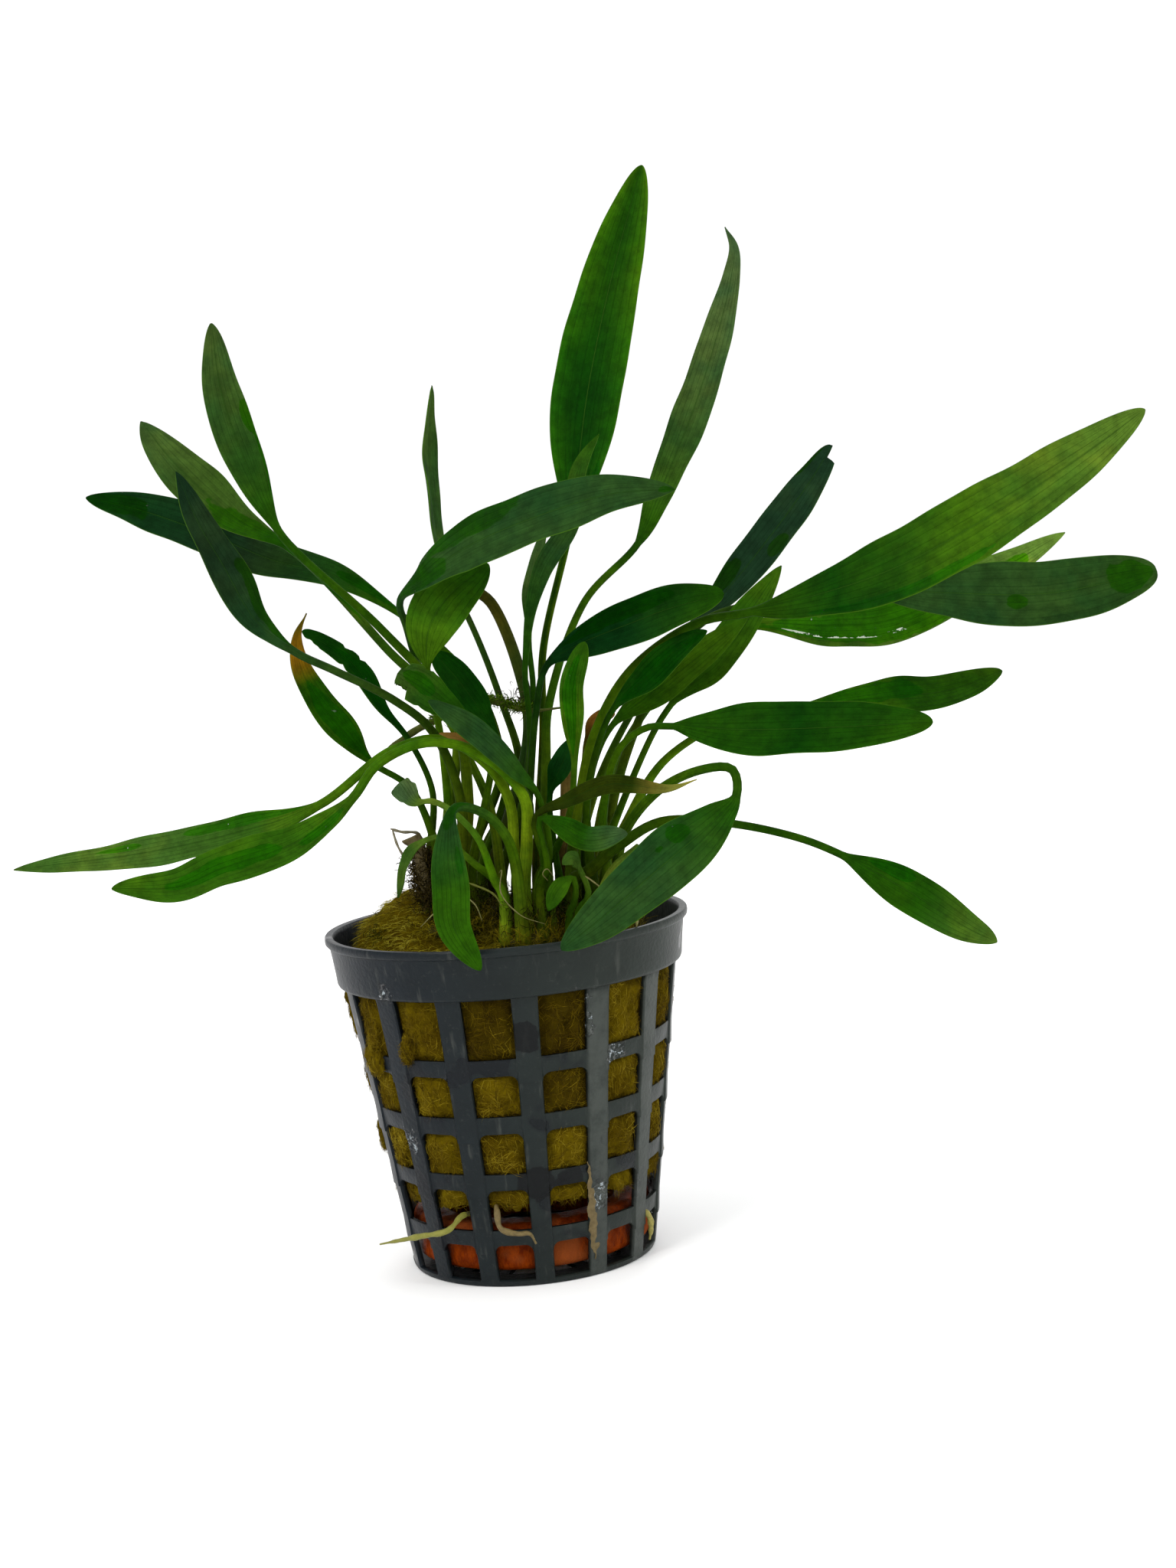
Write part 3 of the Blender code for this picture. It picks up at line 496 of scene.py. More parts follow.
for name, values in LAMPS.items():
    soft_lamp(name, *values)
world = bpy.data.worlds.new("white_room")
world.use_nodes = True
surround = world.node_tree.nodes["Background"]
surround.inputs["Color"].default_value = WORLD_COLOUR
surround.inputs["Strength"].default_value = WORLD_LIGHT
bpy.context.scene.world = world
bpy.context.scene.view_settings.view_transform = "Standard"
print("lamps:", len(LAMPS))

# %% [markdown]
# ## The pot's measures
# The pot is one moulding: 14 upright ribs, hoops between five rows of windows, a plain band with a thin lip, and a
# flat floor with slots. Its wall is a cone, so one line gives its radius at any height. Radii and heights are in
# millimetres from the middle of the floor's underside, and angles in degrees from the front.

# %% Measures of the pot
BASE_RADIUS, WALL_TOP_RADIUS, BAND_FOOT = 18.0, 24.5, 42.6
MEAN_RADIUS = 21.5
WALL_THICKNESS = 0.6
RIB_COUNT, RIB_TURN, RIB_HALF_ANGLE = 14, 3.6, 4.4
# The foot and top of each row of windows.
WINDOW_ROWS = ((1.0, 6.2), (8.45, 14.5), (16.9, 22.9), (25.4, 31.4), (33.8, 42.6))
WINDOW_CORNER = 1.15


def wall_radius(height):
    """Outer radius of the tapering wall at a height."""
    return BASE_RADIUS + (WALL_TOP_RADIUS - BASE_RADIUS) * height / BAND_FOOT


print("pot: lip of the wall", WALL_TOP_RADIUS, "base", BASE_RADIUS, "ribs", RIB_COUNT)

# %% [markdown]
# ## The pot's plastic
# Black polypropylene is really a very dark grey. Its soft sheen comes from a fine moulded grain, it carries pale dust
# and scratches, and wet places are darker and glossy. Noise at three scales gives these: broad for wet and dry, fine
# for dust, and long thin noise for scratches that run up the ribs. Places that belong to one spot of the pot, such as
# a wet patch or a rib with a painted grey reflection, are balls or turns round the axis, made ragged by noise. Painted
# light is also laid into the colour: the left side is a painted bluish reflection and the right side painted lighter,
# the inside is painted shade, and the wet spots carry painted glints.

# %% Marks on black plastic
PLASTIC_TONES = {
    # left and right are painted light: a painted bluish reflection on the left side and painted lighter plastic on the
    # right side.
    "left": (0.002, 0.006, 0.011), "right": (0.019, 0.026, 0.021), "cloud": (0.0015, 0.002, 0.002),
    "dust": (0.06, 0.065, 0.055), "scratch": (0.07, 0.075, 0.065), "stain": (0.002, 0.003, 0.005),
    "painted_rib_reflection": (0.050, 0.057, 0.050), "soaked": (0.001, 0.0015, 0.002), "inside": (0.0003, 0.0005, 0.0003),
    "painted_spark": (0.26, 0.30, 0.32),
}
# Balls of wet and of soaked plastic: middle and radius.
WET_SPOTS = ((8.6, -22.3, 41.0, 2.4), (8.9, -21.9, 37.5, 2.6), (14.0, -18.6, 32.5, 2.2),
             (-16.5, -13.4, 21.5, 2.2), (-17.7, -18.3, 43.5, 1.6), (10.0, -17.8, 12.0, 2.6))
DARK_SPOTS = ((1.1, -20.3, 15.5, 3.2), (5.9, -19.4, 15.0, 2.6), (1.0, -23.4, 37.0, 3.0))
# The turns from the front, in radians, between which a rib carries a painted grey reflection: where it starts and is
# full, ebbs and ends.
PAINTED_REFLECTION_RIBS = ((0.86, 0.90, 1.00, 1.05), (0.42, 0.45, 0.56, 0.60))


def nearness(tree, place, balls):
    """1 in the middle of the nearest ball, 0 on its surface, less outside. A ball is a middle and a radius."""
    near = None
    for x, y, z, radius in (MM * np.array(balls)).tolist():
        away = add(tree, "ShaderNodeVectorMath", {0: place, 1: (x, y, z)}, operation="DISTANCE").outputs["Value"]
        share = compute(tree, "SUBTRACT", 1.0, compute(tree, "DIVIDE", away, radius))
        near = share if near is None else compute(tree, "MAXIMUM", near, share)
    return near


def marked_plastic_with_painted_light(tree, sideways, stain, dust):
    """Dark grey with painted light: a painted bluish reflection on the left and painted lighter plastic on the right.
    Over it cloudy places, dust, scratches and dull water marks.
    """
    scratch = between(tree, spots(tree, 700.0, 3.0, 0.6, (1.0, 1.0, 0.12)), 0.58, 0.74)
    # Painted light: from a painted bluish reflection on the left to painted lighter plastic on the right.
    side = between(tree, sideways, -24.0 * MM, 20.0 * MM)
    body = blend_colours(tree, side, PLASTIC_TONES["left"], PLASTIC_TONES["right"])
    cloudy = laid_over(tree, body, PLASTIC_TONES["cloud"], spots(tree, 190.0, 4.0, 0.65), 0.55)
    dusty = laid_over(tree, cloudy, PLASTIC_TONES["dust"], dust, 0.35)
    scratched = laid_over(tree, dusty, PLASTIC_TONES["scratch"], scratch, 0.35)
    return laid_over(tree, scratched, PLASTIC_TONES["stain"], stain, 0.7)


def painted_rib_reflection_share(tree, split):
    """How far a rib carries the painted grey reflection: by its turn from the front, only below the band, and by noise.
    """
    turn = compute(tree, "ARCTAN2", split.outputs["X"], compute(tree, "MULTIPLY", split.outputs["Y"], -1.0))
    ribs = [compute(tree, "MULTIPLY", between(tree, turn, start, full), between(tree, turn, ebb, end, 1.0, 0.0))
            for start, full, ebb, end in PAINTED_REFLECTION_RIBS]
    below_band = between(tree, split.outputs["Z"], 41.5 * MM, 42.5 * MM, 1.0, 0.0)
    on_rib = compute(tree, "MULTIPLY", compute(tree, "MAXIMUM", *ribs), below_band)
    return compute(tree, "MULTIPLY", on_rib, between(tree, spots(tree, 300.0, 5.0, 0.7), 0.25, 0.6, 0.25, 0.85))


# The mask of the inner side, where the plastic gets painted shade.
def inner_side(tree, place, height):
    """1 on the inner side of the wall, whose points are nearer to the axis than the outer skin at their height."""
    level = add(tree, "ShaderNodeVectorMath", {0: place, 1: (1.0, 1.0, 0.0)}, operation="MULTIPLY").outputs["Vector"]
    reach = add(tree, "ShaderNodeVectorMath", {0: level}, operation="LENGTH").outputs["Value"]
    taper = (WALL_TOP_RADIUS - BASE_RADIUS) / BAND_FOOT
    wall = compute(tree, "MULTIPLY_ADD", height, taper, BASE_RADIUS * MM)
    return between(tree, compute(tree, "SUBTRACT", wall, reach), 0.3 * MM, 0.5 * MM)


print("tones of the plastic:", ", ".join(PLASTIC_TONES))


# %% Black plastic
def plastic_finish():
    """The marked plastic with a painted grey reflection on two ribs, dark soaked places, painted shade on the inside,
    and wet spots with painted glints under a real glossy coat.
    """
    material, tree, shader = new_finish("black_plastic", 0.45, 0.15)
    place = add(tree, "ShaderNodeTexCoord").outputs["Object"]
    split = add(tree, "ShaderNodeSeparateXYZ", {"Vector": place})
    stain = between(tree, spots(tree, 120.0, 2.0), 0.60, 0.66)
    dust = between(tree, spots(tree, 1100.0, 5.0, 0.75), 0.56, 0.75)
    marked = marked_plastic_with_painted_light(tree, split.outputs["X"], stain, dust)
    # Painted reflection: two ribs get a pale grey where light glances off them.
    with_painted_reflection = laid_over(tree, marked, PLASTIC_TONES["painted_rib_reflection"], painted_rib_reflection_share(tree, split))
    near_soaked = compute(tree, "MULTIPLY_ADD", spots(tree, 500.0, 3.0), 0.9, nearness(tree, place, DARK_SPOTS))
    soaked = laid_over(tree, with_painted_reflection, PLASTIC_TONES["soaked"], between(tree, near_soaked, 0.58, 0.66), 0.85)
    # Painted shade: the inner side of the wall is darkened to near black, as it lies in the pot's shade.
    painted_inside_shade = blend_colours(tree, 0.75, soaked, PLASTIC_TONES["inside"])
    shaded = laid_over(tree, soaked, painted_inside_shade, inner_side(tree, place, split.outputs["Z"]))
    near_wet = compute(tree, "MULTIPLY_ADD", spots(tree, 1100.0, 4.0, 0.7), 1.9, nearness(tree, place, WET_SPOTS))
    wet = between(tree, near_wet, 1.12, 1.22)
    # Painted highlights: pale glints are painted into the colour of the wet spots, as well as their real glossy coat.
    painted_sparks = compute(tree, "MULTIPLY", wet, between(tree, spots(tree, 1300.0, 3.0, 0.6), 0.58, 0.63))
    feed(tree, laid_over(tree, shaded, PLASTIC_TONES["painted_spark"], painted_sparks), shader.inputs["Base Color"])
    speckle = between(tree, spots(tree, 2200.0, 4.0, 0.7), 0.50, 0.60)
    feed(tree, compute(tree, "MULTIPLY", wet, speckle), shader.inputs["Coat Weight"])
    shader.inputs["Coat Roughness"].default_value = 0.04
    dull = between(tree, dust, 0.0, 1.0, 0.40, 0.62)
    feed(tree, compute(tree, "MULTIPLY_ADD", stain, -0.16, dull), shader.inputs["Roughness"])
    grain = compute(tree, "MULTIPLY", spots(tree, 1600.0, 3.0), 0.08)
    drops = compute(tree, "MULTIPLY", wet, spots(tree, 900.0, 3.0, 0.6))
    roughen(tree, shader, compute(tree, "ADD", grain, drops), 0.9 * MM)
    return material


print("spots on the plastic:", len(WET_SPOTS), "wet,", len(DARK_SPOTS), "soaked")

# %% [markdown]
# ## The net pot
# The pot could be cut from a cone with Booleans, but so many cuts leave ragged shading. Instead the whole skin is one
# grid. Its columns are angles, placed closely at the rib edges. Its rows follow the profile from the middle of the
# floor, out, up the wall, over the lip and back down the inside. Cells that fall in a window or a slot get no face,
# and short walls join the outer and inner skin round each hole.

# %% Columns and rows of the pot's skin
HOOP_SETBACK = 0.22
EDGE_EASE, EDGE_WIDTH = 0.07, 0.16
# Angles from the middle of a rib at which a column stands, on the rib, round a window's corner and across the window.
RIB_STEPS, CORNER_STEPS, WINDOW_STEPS = (0.0, 1.4, 2.7, 3.6, 4.0), (22.5, 45.0, 67.5, 90.0), (9.3, 11.1)
# Radius and height from the middle of the floor to the foot of the wall. The slots lie between rows 3 and 4.
FLOOR_PROFILE = ((1.2, 0.0), (4.0, 0.0), (6.75, 0.0), (7.0, 0.0), (13.8, 0.0), (14.05, 0.0), (16.4, 0.0), (17.5, 0.0),
                 (17.86, 0.1), (18.03, 0.4))
SLOT_ROW = 3
BAND_PROFILE = ((24.95, 42.62), (25.22, 42.8), (25.38, 43.15), (25.5, 44.4), (25.75, 46.4), (26.02, 48.3),
                (26.10, 48.62), (26.45, 48.8), (26.62, 49.0), (26.68, 49.4), (26.64, 49.78), (26.5, 49.96),
                (26.3, 50.0), (25.95, 49.97), (25.55, 49.9), (25.4, 49.7), (25.35, 49.2), (25.28, 48.0),
                (25.05, 46.0), (24.85, 44.0), (24.75, 43.1), (24.2, 42.7))


def pot_columns():
    """Angles from the front, in degrees, and each one's distance from the middle of the nearest rib."""
    corner_turn = math.degrees(WINDOW_CORNER / MEAN_RADIUS)
    bend = RIB_HALF_ANGLE + corner_turn * (1.0 - np.cos(np.radians(CORNER_STEPS)))
    half_pitch = 180.0 / RIB_COUNT
    half = np.array((*RIB_STEPS, RIB_HALF_ANGLE, *bend, *WINDOW_STEPS, half_pitch))
    offsets = np.concatenate((-half[1:-1][::-1], half))
    middles = RIB_TURN + 2.0 * half_pitch * np.arange(RIB_COUNT)
    return (middles[:, None] + offsets).ravel(), np.tile(np.abs(offsets), RIB_COUNT)


def pot_rows():
    """Rows from the middle of the floor to the foot of the band: radius, height, 1 on a window's rounded top, and 1
    where a hole starts at the row."""
    rows = [(radius, height, 0, number == SLOT_ROW) for number, (radius, height) in enumerate(FLOOR_PROFILE)]
    for foot, top in WINDOW_ROWS:
        rounded = top < BAND_FOOT
        rows += [(wall_radius(foot - EDGE_WIDTH), foot - EDGE_WIDTH, 0, 0), (wall_radius(foot), foot, 0, 1)]
        rows += [(wall_radius(z), z, 0, 1) for z in np.linspace(foot, top - WINDOW_CORNER, 4)[1:]]
        rows += [(wall_radius(top), top, rounded, 0)]
        if rounded:
            rows += [(wall_radius(top + EDGE_WIDTH), top + EDGE_WIDTH, 1, 0)]
    return np.array(rows, float)


print("pot grid:", len(pot_rows()), "rows,", len(pot_columns()[0]), "columns")

# %% The pot's skin as one grid
WALL_START, FLOOR_EDGE, HAIR = 0.9, 0.5, 0.01
# The degrees before a rib's edge at which the hoops start to step back, and over how many they do.
SETBACK_BEFORE, SETBACK_OVER = 0.4, 0.7
SHARP_ANGLE = 38.0


def pot_holes(rows, from_rib):
    """Which cells of the outer skin are holes, and which points lie on the rim of one."""
    between_ribs = from_rib > RIB_HALF_ANGLE - HAIR
    hole = (rows[:, 3] == 1)[:-1, None] & (between_ribs & np.roll(between_ribs, -1))[None, :]
    rim = np.zeros((len(rows), len(from_rib)), bool)
    rim[:-1] |= hole
    rim[1:] |= hole
    return hole, rim | np.roll(rim, 1, axis=1)


def pot_skin(rows, from_rib, rim):
    """Radius and height of the outer skin, the band and the inner skin. The outer radius is the wall's, less a setback
    on the hoops and an easing on the rim of each hole. A rounded window top drops towards the ribs along a quarter
    circle. The inner skin is the outer one moved in, or up where it is the floor."""
    columns = len(from_rib)
    past_edge = np.clip(np.radians(from_rib - RIB_HALF_ANGLE) * MEAN_RADIUS, 0.0, WINDOW_CORNER)
    drop = WINDOW_CORNER - np.sqrt(WINDOW_CORNER ** 2 - (WINDOW_CORNER - past_edge) ** 2)
    on_wall = ((rows[:, 1] > WALL_START) & (rows[:, 1] < BAND_FOOT - HAIR))[:, None]
    setback = HOOP_SETBACK * ease((from_rib - RIB_HALF_ANGLE + SETBACK_BEFORE) / SETBACK_OVER)[None, :] * on_wall
    radius = rows[:, :1] - setback - EDGE_EASE * (rim & on_wall)
    height = rows[:, 1:2] - rows[:, 2:3] * drop[None, :]
    upright = rows[:, 1:2] > FLOOR_EDGE
    inner_radius = np.where(upright, radius - WALL_THICKNESS, np.minimum(radius, BASE_RADIUS - WALL_THICKNESS))
    inner_height = np.where(upright, height, WALL_THICKNESS)
    band_radius, band_height = (np.repeat(part[:, None], columns, axis=1) for part in np.array(BAND_PROFILE).T)
    return (np.concatenate((radius, band_radius, inner_radius[::-1])),
            np.concatenate((height, band_height, inner_height[::-1])))


def pot_surface():
    """Points and faces of the pot. The grid goes up the outside and down the inside, so the inner skin's holes are
    the outer one's in reverse. A fan round a pole closes the middle of the floor above and below."""
    angles, from_rib = pot_columns()
    rows = pot_rows()
    hole, rim = pot_holes(rows, from_rib)
    radius, height = pot_skin(rows, from_rib, rim)
    turn = np.radians(angles)
    points = np.stack((radius * np.sin(turn), -radius * np.cos(turn), height), axis=-1).reshape(-1, 3)
    total, columns = radius.shape
    keep = np.ones((total - 1, columns), bool)
    keep[:len(hole)] = ~hole
    keep[-len(hole):] = ~hole[::-1]
    faces = np.concatenate((grid_faces(total, columns, keep), *hole_walls(hole, columns, total)))
    poles = np.array(((0.0, 0.0, 0.0), (0.0, 0.0, WALL_THICKNESS)))
    ends = np.concatenate((fan_faces(len(points), 0, columns, False),
                           fan_faces(len(points) + 1, (total - 1) * columns, columns, True)))
    return np.concatenate((points, poles)), faces.tolist() + ends.tolist()


def hole_walls(hole, columns, total):
    """Faces that join the outer skin to the inner one round every hole. A side of a hole's cell gets a wall where the
    cell next to it is solid."""
    row, column = np.nonzero(hole)
    after = (column + 1) % columns

    def outer(i, j):
        return i * columns + j

    def inner(i, j):
        return (total - 1 - i) * columns + j

    def solid(i, j):
        return ~hole[np.clip(i, 0, len(hole) - 1), j % columns]

    sides = (
        (solid(row, column - 1), (outer(row, column), inner(row, column), inner(row + 1, column),
                                  outer(row + 1, column))),
        (solid(row, column + 1), (outer(row, after), outer(row + 1, after), inner(row + 1, after),
                                  inner(row, after))),
        (solid(row - 1, column), (outer(row, column), outer(row, after), inner(row, after), inner(row, column))),
        (solid(row + 1, column), (outer(row + 1, column), inner(row + 1, column), inner(row + 1, after),
                                  outer(row + 1, after))),
    )
    return [np.stack(corners, axis=-1)[open_side] for open_side, corners in sides]


show_surface("fine_pot", pot_surface(), plastic_finish(), "pot_plastic", "net_pot", sharp_over=SHARP_ANGLE)

# %% [markdown]
# ## The clay ring
# A ring of fired clay weighs the pot down. It was pressed from soft clay, so its edges are eased and its faces not
# quite true. A profile turned round the axis gives the ring, and a little noise moves the points.

# %% Clay ring
RING_OUTER, RING_INNER, RING_FOOT, RING_TOP, RING_EDGE = 17.3, 12.4, 2.0, 8.8, 1.2
RING_NOISE, RING_NOISE_LENGTH = 0.15, 5.0
CLAY_TONES = {"dark": (0.075, 0.008, 0.0004), "light": (0.20, 0.030, 0.001), "dry": (0.20, 0.050, 0.012)}


def clay_finish():
    """Fired clay of two reds in a grain that is drawn out upwards, paler and duller where it has dried in patches."""
    material, tree, shader = new_finish("fired_clay", 0.35, 0.02)
    grain = spots(tree, 1100.0, 5.0, 0.7, (1.0, 1.0, 0.45))
    patch = between(tree, spots(tree, 160.0, 2.0), 0.50, 0.62)
    body = blend_colours(tree, between(tree, grain, 0.3, 0.7), CLAY_TONES["dark"], CLAY_TONES["light"])
    feed(tree, laid_over(tree, body, CLAY_TONES["dry"], patch, 0.7), shader.inputs["Base Color"])
    feed(tree, between(tree, patch, 0.0, 1.0, 0.28, 0.7), shader.inputs["Roughness"])
    roughen(tree, shader, grain, 0.4 * MM)
    return material


def ring_surface(steps=144, corner_steps=5):
    """The profile is a rectangle with quarter circles at its corners, from the inner foot outwards, up and back.
    Turned round the axis, and moved by at most RING_NOISE. The last row of faces joins the first."""
    outer, inner = RING_OUTER - RING_EDGE, RING_INNER + RING_EDGE
    foot, top = RING_FOOT + RING_EDGE, RING_TOP - RING_EDGE
    profile = []
    for radius, height, start in ((outer, foot, -90.0), (outer, top, 0.0), (inner, top, 90.0), (inner, foot, 180.0)):
        bend = np.radians(start + np.linspace(0.0, 90.0, corner_steps))
        profile.append(np.stack((radius + RING_EDGE * np.cos(bend), height + RING_EDGE * np.sin(bend)), axis=-1))
    profile = np.concatenate(profile)
    points = round_axis(profile[:, :1], profile[:, 1:], full_turn(steps))
    points += RING_NOISE * ripple(points, RING_NOISE_LENGTH, 3)[..., None] * unit(points)
    rows = len(profile)
    return points.reshape(-1, 3), (grid_faces(rows + 1, steps) % (rows * steps)).tolist()


show_surface("fine_clay_ring", ring_surface(), clay_finish(), "fired_clay", "clay_ring")

# %% [markdown]
# ## The rock wool
# The plug is matted mineral fibre, soaked and stained yellow-brown. It fills the pot down to about 12 mm, bulges a
# little into each window, is heaped on the left and sunk on the right. Its body is a turned surface with uneven
# radius and height. The fibres come on top of it as thousands of fine curved hairs.

# %% Wool: measures and finish
WOOL_FOOT, WOOL_LEVEL, SHOULDER = 11.8, 46.3, 41.0
MOUND_RISE, MOUND_CENTRE, MOUND_SPREAD = 8.5, (-13.0, 2.0), 6.5
SINK_DEPTH, SINK_START, SINK_END = 4.5, 12.0, 23.0
WOOL_GAP, WOOL_BULGE = 0.5, 0.75
# Balls in which the wool is soaked and dark: middle and radius. It is full at SOAKED_FULL of the way in.
SOAKED_WOOL = ((-3.7, -22.7, 38.0, 8.0), (6.5, -22.1, 37.5, 9.0), (6.1, -20.6, 28.5, 6.5))
SOAKED_FULL = 0.45
# Brown and golden felt, each from dark to light, and the tone of soaked wool.
WOOL_BROWN = ((0.030, 0.018, 0.0004), (0.100, 0.064, 0.001))
WOOL_GOLD = ((0.065, 0.043, 0.0008), (0.17, 0.120, 0.002))
WOOL_SOAKED = (0.014, 0.008, 0.0004)


def wool_finish():
    """Felt from brown to gold by two noises, and nearly black brown where it is soaked."""
    material, tree, shader = new_finish("rock_wool", 0.95, 0.03)
    place = add(tree, "ShaderNodeTexCoord").outputs["Object"]
    soaked = between(tree, nearness(tree, place, SOAKED_WOOL), 0.0, SOAKED_FULL, 0.0, 0.65)
    fine = spots(tree, 1500.0, 5.0, 0.7)
    broad = between(tree, spots(tree, 130.0, 3.0, 0.6), 0.35, 0.62)
    felt = blend_colours(tree, broad, blend_colours(tree, fine, *WOOL_BROWN), blend_colours(tree, fine, *WOOL_GOLD))
    feed(tree, laid_over(tree, felt, WOOL_SOAKED, soaked), shader.inputs["Base Color"])
    roughen(tree, shader, fine, 0.5 * MM)
    return material


print("wool from", WOOL_FOOT, "to", WOOL_LEVEL, "mm, soaked in", len(SOAKED_WOOL), "places")


# %% Wool: where its surface lies
# From rib to rib, and half of what is open between two of them, in radians.
RIB_PITCH = 2.0 * math.pi / RIB_COUNT
WINDOW_HALF_TURN = RIB_PITCH / 2.0 - math.radians(RIB_HALF_ANGLE)
WINDOW_EASE, BULGE_EASE = 0.6, 1.6
# Size and wavelength of each noise in the wool's lumps, and its seed.
WOOL_LUMPS = ((0.38, 4.0, 11), (0.24, 1.6, 12), (0.13, 0.8, 13))
TOP_LUMPS, FOOT_LUMPS = 1.5, 2.2
RIM_DROP, RIM_START = 2.5, 0.9


def wool_top(x, y):
    """Height of the upper face: level, plus a bell-shaped mound on the left, less a smooth sink on the right."""
    away = (x - MOUND_CENTRE[0]) ** 2 + (y - MOUND_CENTRE[1]) ** 2
    mound = MOUND_RISE * np.exp(-away / (2.0 * MOUND_SPREAD ** 2))
    return WOOL_LEVEL + mound - SINK_DEPTH * ease((x - SINK_START) / (SINK_END - SINK_START))


def in_window(turn, height):
    """How far a point of the wall lies inside a window: 1 in its middle, 0 at its edges and on ribs and hoops."""
    off_rib = np.abs((turn - math.radians(RIB_TURN)) % RIB_PITCH - RIB_PITCH / 2.0)
    across = ease((WINDOW_HALF_TURN - off_rib) / (WINDOW_EASE * WINDOW_HALF_TURN))
    up = np.zeros(np.shape(height))
    for foot, top in WINDOW_ROWS:
        inside = (height - foot) * (top - height) / (0.5 * (top - foot)) ** 2
        up = np.maximum(up, ease(inside * BULGE_EASE))
    return across * up


def wool_radius(turn, height):
    """The pot's inner wall less a small gap, plus the bulge in each window."""
    return wall_radius(height) - WALL_THICKNESS - WOOL_GAP + WOOL_BULGE * in_window(turn, height)


def wool_lumps(points):
    """Unevenness of the wool: the sum of noises of three sizes."""
    return sum(size * ripple(points, wavelength, seed) for size, wavelength, seed in WOOL_LUMPS)


def wool_side(turn, height):
    """Points of the side at an angle from the front and a height, pushed outwards by the lumps."""
    outward = outwards(turn)
    points = wool_radius(turn, height)[..., None] * outward
    points[..., 2] = height
    return points + wool_lumps(points)[..., None] * outward


def wool_cover(x, y):
    """Points of the upper face, pushed upwards by the lumps, and rounded down at the rim."""
    rim = wall_radius(SHOULDER) - WALL_THICKNESS - WOOL_GAP
    drop = RIM_DROP * ease((np.hypot(x, y) / rim - RIM_START) / (1.0 - RIM_START))
    points = np.stack((x, y, wool_top(x, y) - drop), axis=-1)
    points[..., 2] += TOP_LUMPS * wool_lumps(points)
    return points


print("top of the mound:", round(float(wool_top(*MOUND_CENTRE)), 1), "mm")


# %% The wool's body
FOOT_SHARES = (0.15, 0.5, 0.8, 0.94)
SIDE_ROWS = 66
COVER_SHARES = (0.985, 0.96, 0.93, 0.89, 0.84, 0.78, 0.72, 0.66, 0.6, 0.53, 0.46, 0.39, 0.32, 0.25, 0.18, 0.12, 0.06)


def wool_surface(columns=360):
    """Rings from the middle of the foot, out, up the side and in over the top, for angles all the way round. The foot
    is a little hollow."""
    turn = full_turn(columns)
    ring = outwards(turn)
    rows = []
    for share in FOOT_SHARES:
        foot = share * wall_radius(WOOL_FOOT) * ring + (0.0, 0.0, WOOL_FOOT + 0.6 * (1.0 - share))
        foot[:, 2] += FOOT_LUMPS * wool_lumps(foot)
        rows.append(foot)
    for height in np.linspace(WOOL_FOOT + 0.5, SHOULDER, SIDE_ROWS):
        rows.append(wool_side(turn, height + 0.0 * turn))
    rim = wool_radius(turn, SHOULDER + 0.0 * turn)
    for share in COVER_SHARES:
        rows.append(wool_cover(share * rim * ring[:, 0], share * rim * ring[:, 1]))
    return np.array(rows)


wool_paint = wool_finish()
show_surface("fine_rock_wool", closed_surface(wool_surface()), wool_paint, "rock_wool", "rock_wool")

# %% [markdown]
# ## The fibres
# Close up, rock wool is a felt of fine golden and brown hairs that swirl in tufts. Hairs that lie almost flat on the
# surface, with directions that drift from place to place, give that look. They are put only where they show: in the
# windows, on the upper face and at the ragged foot. At the left the wool has also squeezed out through a window, so
# a few cushions of it lie over the edge.

# %% Tones of the fibres
FIBRE_TONES = np.array(((0.026, 0.015, 0.0005), (0.085, 0.054, 0.0010), (0.150, 0.100, 0.002), (0.30, 0.22, 0.014)))
COVER_TONES = FIBRE_TONES * (1.95, 2.35, 4.0)
# Where the middle of the tones lies, from 0 to 1, and how far broad noise, chance and soaking move it.
SHADE_MIDDLE, SHADE_BROAD, SHADE_CHANCE, SHADE_SOAKED = 0.56, 0.28, 0.23, 0.28


def soaked_share(points):
    """1 well inside the soaked balls, 0 outside them."""
    balls = np.array(SOAKED_WOOL)
    away = np.linalg.norm(points[:, None] - balls[:, :3], axis=2) / balls[:, 3]
    return ease((1.0 - away.min(axis=1)) / SOAKED_FULL)


def fibre_colours(points, draw, tones):
    """Mixes the four tones, from dark to pale, by chance and by a broad noise, and darker where it is soaked."""
    shade = SHADE_MIDDLE + SHADE_BROAD * ripple(points, 7.0, 21) + SHADE_CHANCE * draw.normal(size=len(points))
    shade = np.clip(shade - SHADE_SOAKED * soaked_share(points), 0.0, 1.0) * (len(tones) - 1)
    return at_places(shade, np.arange(len(tones)), tones)


print("tones of the fibres:", len(FIBRE_TONES))


# %% Fibres that lie on a surface
FIBRE_RADII = (0.014, 0.034)
# How far a fibre's start and end are below or above the surface, and how far its middle strays sideways.
START_LIFT, END_SINK, STRAY = (-0.15, 0.12), -0.15, 0.35
# The drift of the directions: size and wavelength of its noise, the spread by chance, and its middle, in radians.
SWIRL, SWIRL_LENGTH, SWIRL_CHANCE, SWIRL_MIDDLE = 2.8, 4.0, 0.7, 1.1


